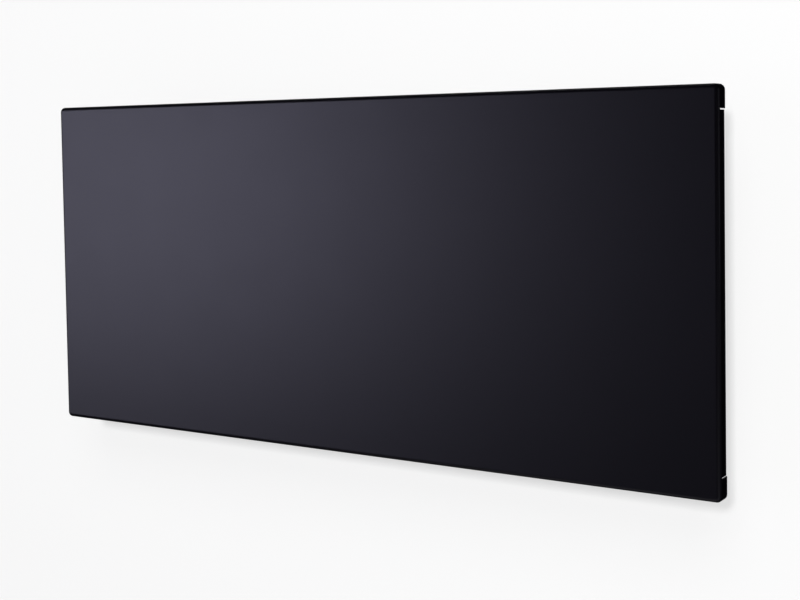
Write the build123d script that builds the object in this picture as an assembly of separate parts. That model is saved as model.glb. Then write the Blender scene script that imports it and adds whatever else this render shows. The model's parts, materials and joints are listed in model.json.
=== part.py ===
from build123d import *
import os
from math import radians, tan

# A flat electric panel heater for a wall, 800 W, in millimetres.
# +X is to the right seen from the room, +Y goes into the wall and +Z is up.
# The origin is on the wall, at the middle of the four wall screws.

os.makedirs("parts", exist_ok=True)

# Front cover: one steel sheet pressed into a shallow pan
cover_width = 725
cover_height = 330
cover_sheet = 1.0
cover_corner_radius = 5
cover_bend_radius = 4
side_flange_depth = 12
corner_flange_depth = 14
notch_width = 1.0
notch_from_edge = 20
notch_front_margin = 3
heater_depth = 84

# Fits that many pieces share
fit_gap = 0.1
seat_gap = 0.3
sheet_bend = 0.8
moulded_edge = 0.8
cut_margin = 1

# Wall bracket: two channels, a rail between them, hooks on the outer legs
bracket_depth = 22
bracket_sheet = 1.5
bracket_bend = 1.0
screw_spacing_x = 360
screw_spacing_z = 180
screw_hole_radius = 3
upright_width = 30
upright_past_screw = 35
rail_height = 30
rail_above_middle = 60
rail_lip = 9
rail_tab_depth = 15
rail_rivet_spacing = 15
hook_above_screw = 15
hook_neck = 8
hook_finger_height = 10
hook_finger_thickness = 2.7
hook_gap = 0.5
clip_sheet = 0.5
clip_width = 16
clip_foot = 14
clip_above_screw = 24
clip_rise = 34
clip_tail_rise = 12
clip_tail_drop = 7
clip_bend = 4

# The heater is lifted by this much to come off the hooks
lift_travel = 12
hang_gap = 0.2
slot_side_gap = 1.0
slot_end_gap = 1.0

# Rear casing: folded sheet, open at the ends and at the front
casing_sheet = 0.8
casing_side_inset = 22.5
casing_edge_inset = 25
casing_front_gap = 7
casing_lip = 12
vent_length = 26
vent_width = 4
vent_pitch_x = 32
vent_pitch_y = 9
vent_rows = 3
vent_margin = 16
small_vent_length = 10
small_vent_from_end = 15

# End caps: moulded, closing both ends of the casing
cap_wall = 2.0
cap_edge_radius = 0.8
cap_rim_depth = 10
cap_rim_wall = 2.0
cap_fit = 0.2
cap_boss_width = 8
cap_boss_depth = 9
cap_screw_from_face = 12
cap_screw_from_end = 5
cap_screw_length = 7

# Cover rails: hat sections welded inside the cover, on insulating spacers
rail_from_side = 62.5
hat_crown = 20
hat_flange = 9
hat_sheet = 0.8
hat_past_screw = 8
insulator_radius = 6
insulator_thickness = 1.3
cover_screw_radius = 2.0
cover_screw_head_radius = 4.0
cover_screw_head = 2.6
cover_screw_length = 6

# Rivets and small screws
rivet_radius = 2.0
rivet_head_radius = 3.6
rivet_head = 1.0
small_screw_radius = 1.5
small_screw_head_radius = 2.9
small_screw_head = 2.0
screw_head_crown = 0.35

# Heat shields, in front of and behind the element
shield_sheet = 0.5
back_shield_gap = 10.7
back_shield_from_edge = 15
back_shield_foot = 10
back_rivet_in = 5.5
front_shield_gap = 2.5
front_shield_leg = 10
front_rivet_in = 5
shield_end_gap = 2.0
shield_rivet_from_end = 20
shield_rivet_count = 4

# Partition between the hot side and the control side
control_side_width = 106
partition_foot = 10
partition_front_gap = 3
partition_rivet_spacing = 110

# Heating element: a U-shaped sheathed rod with pressed-on fins
element_radius = 4.0
element_leg_spacing = 25
element_above_bottom = 65
element_bend_gap = 4
element_past_partition = 8
pin_radius = 1.5
pin_length = 10
bead_radius = 5.5
bead_length = 4
bead_edge = 1.5
fin_sheet = 0.4
fin_pitch = 8
fin_depth = 32
fin_height = 56
fin_end_gap = 10
support_sheet = 1.0
support_foot = 14
support_past_leg = 20
support_front_gap = 3
support_from_bend = 9
support_rivet_spacing = 40
bush_radius = 6.0
bush_flange_radius = 8.0
bush_flange = 1.5
bush_length = 5

# Overheat cut-out in the partition
cutout_above_element = 55
cutout_radius = 8
cutout_body = 7
cutout_neck_radius = 6.5
cutout_neck = 5
clip_plate_width = 24
clip_plate_sheet = 0.6
clip_plate_corner = 3
blade_width = 4.8
blade_sheet = 0.8
blade_length = 8
cutout_blade_spacing = 8

# Control board on pillars
board_from_partition = 10
board_width = 62
board_height = 123
board_below_top = 62
board_sheet = 1.6
board_gap = 11.2
board_hole_inset = 5
pillar_radius = 3
board_screw_length = 7
relay_size = (28, 16, 12)
transformer_size = (30, 20, 26)
transformer_core = 8
winding_inset = 2
capacitor_radius = 5
capacitor_height = 18
capacitor_pitch = 13
sink_width = 24
sink_height = 34
sink_depth = 16
sink_base = 3
sink_fin = 1.6
sink_fin_count = 6
chip_size = (10, 4, 15)
connector_depth = 10
connector_height = 12
connector_pitch = 6
connector_from_side = 14
ribbon_from_side = 10
board_margin = 5
board_side_margin = 2.5
load_wire_drop = 38
cutout_plug_rise = 25
cutout_plug_height = 12

# Control housing in the casing's top, with a display and three buttons
control_from_partition = 48
control_length = 76
control_width = 30
control_depth = 16
control_wall = 1.8
control_flange = 5
control_corner = 3
control_deck = 2.0
control_lug = 1.0
control_lug_height = 3
control_lug_length = 12
key_board_drop = 12.4
key_board_sheet = 1.6
key_board_gap = 0.5
key_ledge = 2
button_radius = 4.5
button_gap = 0.25
button_proud = 1.2
button_travel = 0.8
button_collar = 0.8
button_collar_height = 1.2
button_stem_radius = 1.6
button_pitch = 12
button_from_end = 9
key_switch_size = 6
key_switch_height = 5
key_stem_entry = 1.0
key_stem_gap = 0.2
window_from_end = 5
window_to_button = 8
window_width = 16
window_sheet = 1.2
window_ledge = 2
window_corner = 0.5
display_margin = 3
display_gap = 0.5

# Rocker power switch in the right end cap
switch_below_top = 40
switch_length = 21.2
switch_width = 14.4
switch_depth = 22
switch_flange = 1.4
switch_flange_sheet = 1.6
switch_edge = 0.4
switch_cavity_wall = 1.4
switch_cavity_depth = 11
rocker_side_gap = 0.3
rocker_end_gap = 0.9
rocker_end_rise = 4.2
rocker_middle_rise = 2.6
rocker_foot_depth = 4.5
rocker_foot_half = 4
rocker_pin_radius = 1.5
rocker_pin_gap = 0.06
rocker_pivot_depth = 4.4
rocker_tilt = 8
switch_blade_spacing = 10
flag_width = 7
flag_length = 14
flag_depth = 6
flag_from_switch = 1

# Mains entry
gland_from_partition = 56
gland_bore_radius = 4.0
gland_thread_radius = 8.0
gland_hex_radius = 12
gland_hex_height = 6
gland_cone_radius = 7
gland_cone_height = 9
gland_cap_radius = 10
gland_cap_wall = 2
gland_cap_ease = 0.5
gland_thread_length = 10
gland_nut_height = 5
block_above_bottom = 45
terminal_pitch = 10
terminal_block_width = 32
terminal_block_height = 20
terminal_block_depth = 16
terminal_screw_radius = 2.4
terminal_screw_height = 5
terminal_well_depth = 6
terminal_screw_spacing = 9
screw_slot_width = 0.8
screw_slot_depth = 1.2
earth_from_end = 22
earth_above_bottom = 28
earth_stud_radius = 2.0
earth_stud_length = 14
earth_nut_radius = 4.0
earth_nut_height = 3.2
earth_washer_radius = 4.5
earth_washer_sheet = 1.0
lug_radius = 4.0
lug_sheet = 0.8
lug_tail = 10

# Room sensor in the casing's bottom
sensor_from_partition = 24
sensor_probe_radius = 2.5
sensor_probe_below = 6
sensor_body_radius = 4.5
sensor_body_height = 9

# Inner wiring
mains_wire_radius = 1.3
lead_radius = 1.0
ribbon_width = 12
ribbon_sheet = 1.0
ribbon_bend = 4
ribbon_rise = 16
ribbon_slant = 16
live_rise = 15
live_slant = 25
live_from_back = 5
flag_drop = 13
flag_slant = 15
load_drop = 22
neutral_rise = 12
neutral_drop = 15
earth_drop = 19
earth_run = 12
earth_lean = 4
earth_turn = 12
sensor_rise = 14
sensor_slant = 16
lead_slant = 6
arc_share = 0.45

# Planes and places that several pieces share
front_y = -heater_depth
cover_back_y = front_y + cover_sheet
casing_front_y = cover_back_y + casing_front_gap
casing_back_y = -bracket_depth
casing_floor_y = casing_back_y - casing_sheet
casing_middle_y = (casing_front_y + casing_back_y) / 2
casing_top_z = cover_height / 2 - casing_edge_inset
casing_bottom_z = -casing_top_z
casing_inner_z = casing_top_z - casing_sheet
cap_outer_x = cover_width / 2 - casing_side_inset
casing_end_x = cap_outer_x - cap_wall
rim_end_x = casing_end_x - cap_rim_depth
upright_x = screw_spacing_x / 2
screw_z = screw_spacing_z / 2
upright_leg = bracket_depth - seat_gap
partition_x = casing_end_x - control_side_width
partition_far_x = partition_x + casing_sheet
back_shield_y = casing_floor_y - back_shield_gap
front_shield_y = casing_front_y + front_shield_gap
element_y = (back_shield_y - shield_sheet + front_shield_y + shield_sheet) / 2
element_z = casing_bottom_z + element_above_bottom
element_legs = (element_z - element_leg_spacing / 2, element_z + element_leg_spacing / 2)
shield_left_x = -rim_end_x + shield_end_gap
shield_right_x = partition_x - shield_end_gap
board_left = partition_x + board_from_partition
board_right = board_left + board_width
board_top = casing_top_z - board_below_top
board_bottom = board_top - board_height
board_back_y = casing_floor_y - board_gap
board_front_y = board_back_y - board_sheet


def block(x0, x1, y0, y1, z0, z1):
    """A rectangular solid between two opposite corners."""
    middle = Pos((x0 + x1) / 2, (y0 + y1) / 2, (z0 + z1) / 2)
    return middle * Box(abs(x1 - x0), abs(y1 - y0), abs(z1 - z0))


def rod_x(y, z, x0, x1, radius):
    """A round rod along X."""
    return Pos((x0 + x1) / 2, y, z) * Rot(0, 90, 0) * Cylinder(radius, abs(x1 - x0))


def rod_y(x, z, y0, y1, radius):
    """A round rod along Y."""
    return Pos(x, (y0 + y1) / 2, z) * Rot(90, 0, 0) * Cylinder(radius, abs(y1 - y0))


def rod_z(x, y, z0, z1, radius):
    """A round rod along Z."""
    return Pos(x, y, (z0 + z1) / 2) * Cylinder(radius, abs(z1 - z0))


def fold(points, sheet, bend, plane, start, end):
    """A folded sheet: the line is one face of it, with the sheet on its left if positive."""
    line = [Vector(*point) for point in points]
    ways = [(b - a).normalized() for a, b in zip(line, line[1:])]
    lefts = [Vector(-way.Y, way.X) for way in ways]
    far = [line[0] + lefts[0] * sheet]
    for corner, before, after in zip(line[1:-1], lefts, lefts[1:]):
        far.append(corner + (before + after) * (sheet / (1 + before.dot(after))))
    far.append(line[-1] + lefts[-1] * sheet)
    profile = Polygon(*line, *reversed(far), align=None)
    for i in range(1, len(line) - 1):
        turns_left = ways[i - 1].cross(ways[i]).Z > 0
        inner, outer = (far[i], line[i]) if turns_left == (sheet > 0) else (line[i], far[i])
        profile = fillet(profile.vertices().sort_by_distance(inner)[0], bend)
        profile = fillet(profile.vertices().sort_by_distance(outer)[0], bend + abs(sheet))
    return extrude(plane.offset(start) * profile, amount=end - start, dir=plane.z_dir)


def rivet(first, last):
    """A rivet with a head on each of the two outer faces that it clamps."""
    start, end = Vector(*first), Vector(*last)
    reach = (end - start).length / 2 + rivet_head
    body = Cylinder(rivet_radius, 2 * reach)
    for side in (-1, 1):
        head = Pos(0, 0, side * (reach - rivet_head / 2)) * Cylinder(rivet_head_radius, rivet_head)
        rim = head.edges().group_by(Axis.Z)[-1 if side > 0 else 0]
        body += fillet(rim, rivet_head / 2)
    return Plane(origin=(start + end) / 2, z_dir=end - start) * body


def screw(seat, way, radius, length, head_radius, head):
    """A pan-head screw: the head sits on the seat and the shank runs along the way."""
    cap = Pos(0, 0, -head / 2) * Cylinder(head_radius, head)
    cap = fillet(cap.edges().group_by(Axis.Z)[0], head * screw_head_crown)
    body = cap + Pos(0, 0, length / 2) * Cylinder(radius, length)
    return Plane(origin=seat, z_dir=way) * body


def wire(points, radius):
    """An insulated wire: straight runs joined by arcs as large as the runs allow."""
    corners = [Vector(*point) for point in points]
    runs = [b - a for a, b in zip(corners, corners[1:])]
    bends = []
    for before, after in zip(runs, runs[1:]):
        turn = radians(before.get_angle(after))
        bends.append(arc_share * min(before.length, after.length) / tan(turn / 2))
    print("wire bend radii", [round(bend, 1) for bend in bends])
    path = FilletPolyline(*corners, radius=bends)
    start = Plane(origin=path @ 0, z_dir=path % 0)
    return sweep(start * Circle(radius), path=path)


def save(name, *shapes):
    """Write one node: each solid in the shapes stays a solid of its own."""
    solids = [solid for shape in shapes for solid in shape.solids()]
    whole = solids[0] if len(solids) == 1 else Compound(children=solids)
    export_step(whole, f"parts/{name}.step")


# Front cover

def pan(inset):
    """The cover's outer form, or its hollow when inset by the sheet."""
    half_width = cover_width / 2 - inset
    half_height = cover_height / 2 - inset
    open_end = front_y + corner_flange_depth + inset
    body = block(-half_width, half_width, front_y + inset, open_end, -half_height, half_height)
    body = fillet(body.edges().filter_by(Axis.Y), cover_corner_radius - inset)
    front = body.faces().sort_by(Axis.Y)[0]
    return fillet(front.edges(), cover_bend_radius - inset)


def front_cover():
    """A pan whose side flanges are shallower between two relief notches."""
    cover = pan(0) - pan(cover_sheet)
    notch_z = cover_height / 2 - notch_from_edge
    edge_y = front_y + corner_flange_depth + cut_margin
    flange_x = cover_width / 2 - cover_bend_radius
    for side in (-1, 1):
        inner, outer = side * flange_x, side * (cover_width / 2 + cut_margin)
        cover -= block(inner, outer, front_y + side_flange_depth, edge_y, -notch_z, notch_z)
        for z in (-notch_z, notch_z):
            cover -= block(inner, outer, front_y + notch_front_margin, edge_y,
                           z - notch_width / 2, z + notch_width / 2)
    return cover


cover_rail_xs = [side * (cover_width / 2 - rail_from_side) for side in (-1, 1)]
cover_screw_z = casing_top_z + casing_lip / 2
cover_screw_places = [(x, z) for x in cover_rail_xs for z in (-cover_screw_z, cover_screw_z)]


def cover_rail(x):
    """A hat section welded to the cover, with a screw hole near each end."""
    half = hat_crown / 2
    crown_y = casing_front_y - insulator_thickness
    under_y = crown_y - hat_sheet
    points = [(x - half - hat_flange, cover_back_y), (x - half, cover_back_y),
              (x - half, under_y), (x + half, under_y),
              (x + half, cover_back_y), (x + half + hat_flange, cover_back_y)]
    reach = cover_screw_z + hat_past_screw
    rail = fold(points, hat_sheet, sheet_bend, Plane.XY, -reach, reach)
    for z in (-cover_screw_z, cover_screw_z):
        rail -= rod_y(x, z, under_y - cut_margin, crown_y + cut_margin,
                      cover_screw_radius + fit_gap)
    return rail


def cover_insulator(x, z):
    """A ceramic-filled washer between a rail and the casing's lip."""
    start, end = casing_front_y - insulator_thickness, casing_front_y
    ring = rod_y(x, z, start, end, insulator_radius)
    return ring - rod_y(x, z, start - cut_margin, end + cut_margin, cover_screw_radius + fit_gap)


def cover_screw(x, z):
    """A screw put in from behind the casing's lip."""
    return screw((x, casing_front_y + casing_sheet, z), (0, -1, 0), cover_screw_radius,
                 cover_screw_length, cover_screw_head_radius, cover_screw_head)


save("front_cover", front_cover())
save("front_cover_rails", *[cover_rail(x) for x in cover_rail_xs])
save("cover_insulators", *[cover_insulator(x, z) for x, z in cover_screw_places])
save("cover_screws", *[cover_screw(x, z) for x, z in cover_screw_places])


# Wall bracket

leg_outer_x = upright_x + upright_width / 2
leg_inner_x = upright_x - upright_width / 2
hook_front_y = casing_floor_y - hook_gap - hook_finger_thickness
hook_zs = (-screw_z + hook_above_screw, screw_z + hook_above_screw)
rail_rivet_y = -(rail_tab_depth + bracket_sheet) / 2
rail_rivet_zs = [rail_above_middle + side * rail_rivet_spacing / 2 for side in (-1, 1)]


def hook(z):
    """A finger that points up inside the casing's back, on a short neck."""
    leg = (leg_outer_x - bracket_sheet, leg_outer_x)
    finger_back = hook_front_y + hook_finger_thickness
    neck = block(*leg, hook_front_y, -upright_leg + cut_margin, z - hook_neck, z)
    finger = block(*leg, hook_front_y, finger_back, z - cut_margin, z + hook_finger_height)
    tip = finger.edges().filter_by(Axis.X).group_by(Axis.Z)[-1].sort_by(Axis.Y)[-1]
    return neck + chamfer(tip, hook_finger_thickness / 2)


def right_upright():
    """A channel with its web on the wall and hooks on its outer leg."""
    half_height = screw_z + upright_past_screw
    points = [(leg_inner_x, -upright_leg), (leg_inner_x, 0),
              (leg_outer_x, 0), (leg_outer_x, -upright_leg)]
    body = fold(points, -bracket_sheet, bracket_bend, Plane.XY, -half_height, half_height)
    for z in hook_zs:
        body += hook(z)
    for z in (-screw_z, screw_z):
        body -= rod_y(upright_x, z, -bracket_sheet - cut_margin, cut_margin, screw_hole_radius)
    for z in rail_rivet_zs:
        body -= rod_x(rail_rivet_y, z, leg_inner_x - cut_margin,
                      leg_inner_x + bracket_sheet + cut_margin, rivet_radius + fit_gap)
    return body


def cross_rail():
    """A lipped rail on the wall, with a tab turned out at each end."""
    low, high = rail_above_middle - rail_height / 2, rail_above_middle + rail_height / 2
    points = [(-rail_lip, high), (0, high), (0, low), (-rail_lip, low)]
    rail = fold(points, -bracket_sheet, bracket_bend, Plane.YZ, -leg_inner_x, leg_inner_x)
    clear = bracket_sheet + bracket_bend
    for side in (-1, 1):
        face, back = side * leg_inner_x, side * (leg_inner_x - bracket_sheet)
        tab = block(back, face, -rail_tab_depth, -bracket_sheet / 2, low + clear, high - clear)
        for z in rail_rivet_zs:
            tab -= rod_x(rail_rivet_y, z, back - side * cut_margin, face + side * cut_margin,
                         rivet_radius + fit_gap)
        rail += tab
    return rail


def rail_rivet(side, z):
    """A rivet through a rail tab and an upright's inner leg."""
    return rivet((side * (leg_inner_x - bracket_sheet), rail_rivet_y, z),
                 (side * (leg_inner_x + bracket_sheet), rail_rivet_y, z))


def spring_clip():
    """A leaf spring, welded to the web, whose nose presses on the casing's back."""
    foot_z = -screw_z + clip_above_screw
    foot_end = foot_z + clip_foot
    nose_y = -upright_leg + clip_sheet
    points = [(-bracket_sheet, foot_z), (-bracket_sheet, foot_end),
              (nose_y, foot_end + clip_rise),
              (nose_y + clip_tail_drop, foot_end + clip_rise + clip_tail_rise)]
    return fold(points, clip_sheet, clip_bend, Plane.YZ,
                upright_x - clip_width / 2, upright_x + clip_width / 2)


save("bracket_upright_right", right_upright())
save("bracket_upright_left", mirror(right_upright(), Plane.YZ))
save("bracket_cross_rail", cross_rail())
save("bracket_rivets", *[rail_rivet(side, z) for side in (-1, 1) for z in rail_rivet_zs])
save("bracket_spring_clips", spring_clip(), mirror(spring_clip(), Plane.YZ))


# Places that the casing's holes share with the pieces fixed there

def spread(first, last, count):
    """Evenly spaced places from first to last."""
    return [first + (last - first) * i / (count - 1) for i in range(count)]


cap_screw_x = casing_end_x - cap_screw_from_end
cap_screw_ys = (casing_front_y + cap_screw_from_face, casing_back_y - cap_screw_from_face)
cap_screw_places = [(x, y) for x in (-cap_screw_x, cap_screw_x) for y in cap_screw_ys]
shield_rivet_xs = spread(shield_left_x + shield_rivet_from_end,
                         shield_right_x - shield_rivet_from_end, shield_rivet_count)
front_rivet_y = front_shield_y + front_rivet_in
back_shield_half = casing_top_z - back_shield_from_edge
back_rivet_z = back_shield_half + back_rivet_in
partition_rivet_x = partition_far_x + partition_foot / 2
partition_rivet_zs = (-partition_rivet_spacing, 0, partition_rivet_spacing)
gland_x = partition_x + gland_from_partition
sensor_x = partition_x + sensor_from_partition
control_x = partition_x + control_from_partition


# Rear casing

def vents(first_x, columns, length):
    """Rows of slots, seen from above."""
    slots = Sketch()
    for column in range(columns):
        x = first_x + length / 2 + column * vent_pitch_x
        for row in range(vent_rows):
            y = casing_middle_y + (row - (vent_rows - 1) / 2) * vent_pitch_y
            slots += Pos(x, y) * SlotOverall(length, vent_width)
    return slots


def cut_down(sketch, top, bottom):
    """A tool that cuts a sketch down from one height to another."""
    return Pos(0, 0, bottom) * extrude(sketch, amount=top - bottom)


def hook_slot(side, z):
    """A slot in the casing's back, long enough for the hook while lifting."""
    middle = side * (leg_outer_x - bracket_sheet / 2)
    half = bracket_sheet / 2 + slot_side_gap
    low = z - hook_neck - lift_travel - slot_end_gap
    return block(middle - half, middle + half, casing_floor_y - cut_margin,
                 casing_back_y + cut_margin, low, z + hang_gap)


def casing_holes():
    """Every hole in the casing, as one list of tools."""
    over, under = casing_top_z + cut_margin, casing_bottom_z - cut_margin
    bottom_in = casing_bottom_z + casing_sheet + cut_margin
    first_x = -casing_end_x + vent_margin
    columns = int((partition_x - vent_margin - first_x - vent_length) // vent_pitch_x) + 1
    small_x = casing_end_x - small_vent_from_end - small_vent_length
    tools = [cut_down(vents(first_x, columns, vent_length), over, under),
             cut_down(vents(small_x, 1, small_vent_length), bottom_in, under)]
    tools += [hook_slot(side, z) for side in (-1, 1) for z in hook_zs]
    back = (casing_floor_y - cut_margin, casing_back_y + cut_margin)
    lip = (casing_front_y - cut_margin, casing_front_y + casing_sheet + cut_margin)
    rivet_hole = rivet_radius + fit_gap
    tools += [rod_y(x, z, *lip, cover_screw_radius + fit_gap) for x, z in cover_screw_places]
    tools += [rod_z(x, y, over, under, small_screw_radius + fit_gap) for x, y in cap_screw_places]
    tools += [rod_z(x, front_rivet_y, over, under, rivet_hole) for x in shield_rivet_xs]
    tools += [rod_y(x, z, *back, rivet_hole)
              for x in shield_rivet_xs for z in (-back_rivet_z, back_rivet_z)]
    tools += [rod_y(partition_rivet_x, z, *back, rivet_hole) for z in partition_rivet_zs]
    tools.append(rod_z(gland_x, casing_middle_y, bottom_in, under, gland_thread_radius + fit_gap))
    tools.append(rod_z(sensor_x, casing_middle_y, bottom_in, under, sensor_probe_radius + fit_gap))
    half_length = control_length / 2 + cap_fit
    half_width = control_width / 2 + cap_fit
    tools.append(block(control_x - half_length, control_x + half_length,
                       casing_middle_y - half_width, casing_middle_y + half_width,
                       casing_inner_z - cut_margin, over))
    return tools


def rear_casing():
    """A sheet folded to a wide channel with lips, vented above and below."""
    lip_z = casing_top_z + casing_lip
    lip_y = casing_front_y + casing_sheet
    points = [(lip_y, lip_z), (lip_y, casing_top_z), (casing_back_y, casing_top_z),
              (casing_back_y, casing_bottom_z), (lip_y, casing_bottom_z), (lip_y, -lip_z)]
    body = fold(points, -casing_sheet, sheet_bend, Plane.YZ, -casing_end_x, casing_end_x)
    return body - casing_holes()


save("rear_casing", rear_casing())


# End caps

def end_cap():
    """The right end cap: a plate with a rim and screw bosses that plug into the casing."""
    plate = block(casing_end_x, cap_outer_x, casing_front_y, casing_back_y,
                  casing_bottom_z, casing_top_z)
    outer_face = plate.faces().sort_by(Axis.X)[-1]
    plate = fillet(outer_face.edges(), cap_edge_radius)
    front, back = casing_front_y + casing_sheet, casing_floor_y - cap_fit
    high = casing_inner_z - cap_fit
    rim = block(rim_end_x, casing_end_x, front, back, -high, high)
    rim = fillet(rim.edges().filter_by(Axis.X), sheet_bend + cap_fit)
    rim -= block(rim_end_x - cut_margin, casing_end_x, front + cap_rim_wall,
                 back - cap_rim_wall, -high + cap_rim_wall, high - cap_rim_wall)
    cap = plate + rim
    half = cap_boss_width / 2
    for y in cap_screw_ys:
        for side in (-1, 1):
            low = side * (high - cap_boss_depth)
            cap += block(rim_end_x, casing_end_x, y - half, y + half,
                         low, side * (high - cap_rim_wall / 2))
            cap -= rod_z(cap_screw_x, y, low - side * cut_margin, side * (high + cut_margin),
                         small_screw_radius + fit_gap)
    return cap


switch_z = casing_top_z - switch_below_top


def right_end_cap():
    """The end cap with the power switch's opening cut in it."""
    half_length = switch_length / 2 + fit_gap
    half_width = switch_width / 2 + fit_gap
    return end_cap() - block(casing_end_x - cut_margin, cap_outer_x + cut_margin,
                             casing_middle_y - half_length, casing_middle_y + half_length,
                             switch_z - half_width, switch_z + half_width)


def cap_screw(x, y, side):
    """A screw through the casing's top or bottom into a cap's boss."""
    return screw((x, y, side * casing_top_z), (0, 0, -side), small_screw_radius,
                 cap_screw_length, small_screw_head_radius, small_screw_head)


save("right_end_cap", right_end_cap())
save("left_end_cap", mirror(end_cap(), Plane.YZ))
save("end_cap_screws", *[cap_screw(x, y, side) for x, y in cap_screw_places for side in (-1, 1)])


# Heat shields

def back_shield():
    """A hat section that keeps the element's heat off the wall."""
    floor, crown = casing_floor_y, back_shield_y
    foot_z = back_shield_half + back_shield_foot
    points = [(floor, foot_z), (floor, back_shield_half), (crown, back_shield_half),
              (crown, -back_shield_half), (floor, -back_shield_half), (floor, -foot_z)]
    shield = fold(points, -shield_sheet, sheet_bend, Plane.YZ, shield_left_x, shield_right_x)
    for x in shield_rivet_xs:
        for z in (-back_rivet_z, back_rivet_z):
            shield -= rod_y(x, z, floor - cut_margin, floor + cut_margin, rivet_radius + fit_gap)
    for x, z in support_rivet_places:
        shield -= rod_y(x, z, crown - cut_margin, crown + cut_margin, rivet_radius + fit_gap)
    return shield


def front_shield():
    """A tray between the element and the cover, riveted to the casing's walls."""
    leg_end = front_shield_y + front_shield_leg
    points = [(leg_end, casing_inner_z), (front_shield_y, casing_inner_z),
              (front_shield_y, -casing_inner_z), (leg_end, -casing_inner_z)]
    shield = fold(points, shield_sheet, sheet_bend, Plane.YZ, shield_left_x, shield_right_x)
    for x in shield_rivet_xs:
        shield -= rod_z(x, front_rivet_y, -casing_top_z, casing_top_z, rivet_radius + fit_gap)
    return shield


def back_shield_rivet(x, z):
    """A rivet through a back shield foot and the casing's back."""
    return rivet((x, casing_floor_y - shield_sheet, z), (x, casing_back_y, z))


def front_shield_rivet(x, side):
    """A rivet through the casing's top or bottom and a front shield leg."""
    return rivet((x, front_rivet_y, side * (casing_inner_z - shield_sheet)),
                 (x, front_rivet_y, side * casing_top_z))


# Heating element, its supports and its bushes

bend_x = -rim_end_x + element_bend_gap + element_leg_spacing / 2 + element_radius
support_xs = (bend_x + support_from_bend, (bend_x + support_from_bend + partition_x) / 2)
support_rivet_zs = [element_z + side * support_rivet_spacing / 2 for side in (-1, 1)]
support_rivet_places = [(x + support_sheet + support_foot / 2, z)
                        for x in support_xs for z in support_rivet_zs]
element_end_x = partition_far_x + element_past_partition
bush_hole = bush_radius + fit_gap


def element_rod():
    """A sheathed rod bent to a U, with both ends past the partition."""
    low, high = element_legs
    with BuildLine(Plane.XZ.offset(-element_y)) as line:
        Line((element_end_x, high), (bend_x, high))
        ThreePointArc((bend_x, high), (bend_x - element_leg_spacing / 2, element_z), (bend_x, low))
        Line((bend_x, low), (element_end_x, low))
    path = line.wire()
    start = Plane(origin=(element_end_x, element_y, high), z_dir=(-1, 0, 0))
    return sweep(start * Circle(element_radius), path=path)


def fin(x):
    """A thin plate pressed on to both legs of the rod."""
    plate = block(x, x + fin_sheet, element_y - fin_depth / 2, element_y + fin_depth / 2,
                  element_z - fin_height / 2, element_z + fin_height / 2)
    for z in element_legs:
        plate -= rod_x(element_y, z, x - cut_margin, x + fin_sheet + cut_margin,
                       element_radius + fit_gap)
    return plate


def fin_xs():
    """The fins' places: two even packs, one on each side of the middle support."""
    places = []
    ends = (support_xs[1], partition_x)
    starts = (support_xs[0], support_xs[1])
    for start, end in zip(starts, ends):
        first = start + support_sheet + fin_end_gap
        count = int((end - fin_end_gap - first) // fin_pitch) + 1
        places += [first + i * fin_pitch for i in range(count)]
    return places


def element_support(x):
    """An angle riveted to the back shield, with a bushed hole for each leg."""
    crown = back_shield_y - shield_sheet
    low = element_legs[0] - support_past_leg
    high = element_legs[1] + support_past_leg
    points = [(x, front_shield_y + support_front_gap), (x, crown),
              (x + support_sheet + support_foot, crown)]
    support = fold(points, -support_sheet, sheet_bend, Plane.XY, low, high)
    for z in element_legs:
        support -= rod_x(element_y, z, x - cut_margin, x + support_sheet + cut_margin, bush_hole)
    for place_x, z in support_rivet_places:
        support -= rod_y(place_x, z, crown - support_sheet - cut_margin, crown + cut_margin,
                         rivet_radius + fit_gap)
    return support


def support_rivet(x, z):
    """A rivet through a support's foot and the back shield."""
    return rivet((x, back_shield_y - shield_sheet - support_sheet, z), (x, back_shield_y, z))


def bush(x, z):
    """A ceramic bush that insulates the rod from the plate it goes through."""
    body = rod_x(element_y, z, x - bush_flange, x, bush_flange_radius)
    body += rod_x(element_y, z, x - bush_flange, x + bush_length, bush_radius)
    return body - rod_x(element_y, z, x - bush_flange - cut_margin,
                        x + bush_length + cut_margin, element_radius + fit_gap)


def end_bead(z):
    """A ceramic bead that seals the rod's end round its pin."""
    bead = rod_x(element_y, z, element_end_x, element_end_x + bead_length, bead_radius)
    rim = bead.edges().group_by(Axis.X)[-1]
    bead = fillet(rim, bead_edge)
    return bead - rod_x(element_y, z, element_end_x - cut_margin,
                        element_end_x + bead_length + cut_margin, pin_radius + fit_gap)


def end_pin(z):
    """The rod's cold pin, on which a lead is crimped."""
    return rod_x(element_y, z, element_end_x, element_end_x + bead_length + pin_length, pin_radius)


bush_places = [(x, z) for x in (*support_xs, partition_x) for z in element_legs]
save("back_heat_shield", back_shield())
save("front_heat_shield", front_shield())
save("element_rod", element_rod())
save("element_fins", *[fin(x) for x in fin_xs()])
save("element_supports", *[element_support(x) for x in support_xs])
save("element_bushes", *[bush(x, z) for x, z in bush_places])
save("element_end_beads", *[end_bead(z) for z in element_legs])
save("element_pins", *[end_pin(z) for z in element_legs])


# Partition and overheat cut-out

cutout_z = element_z + cutout_above_element


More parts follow.
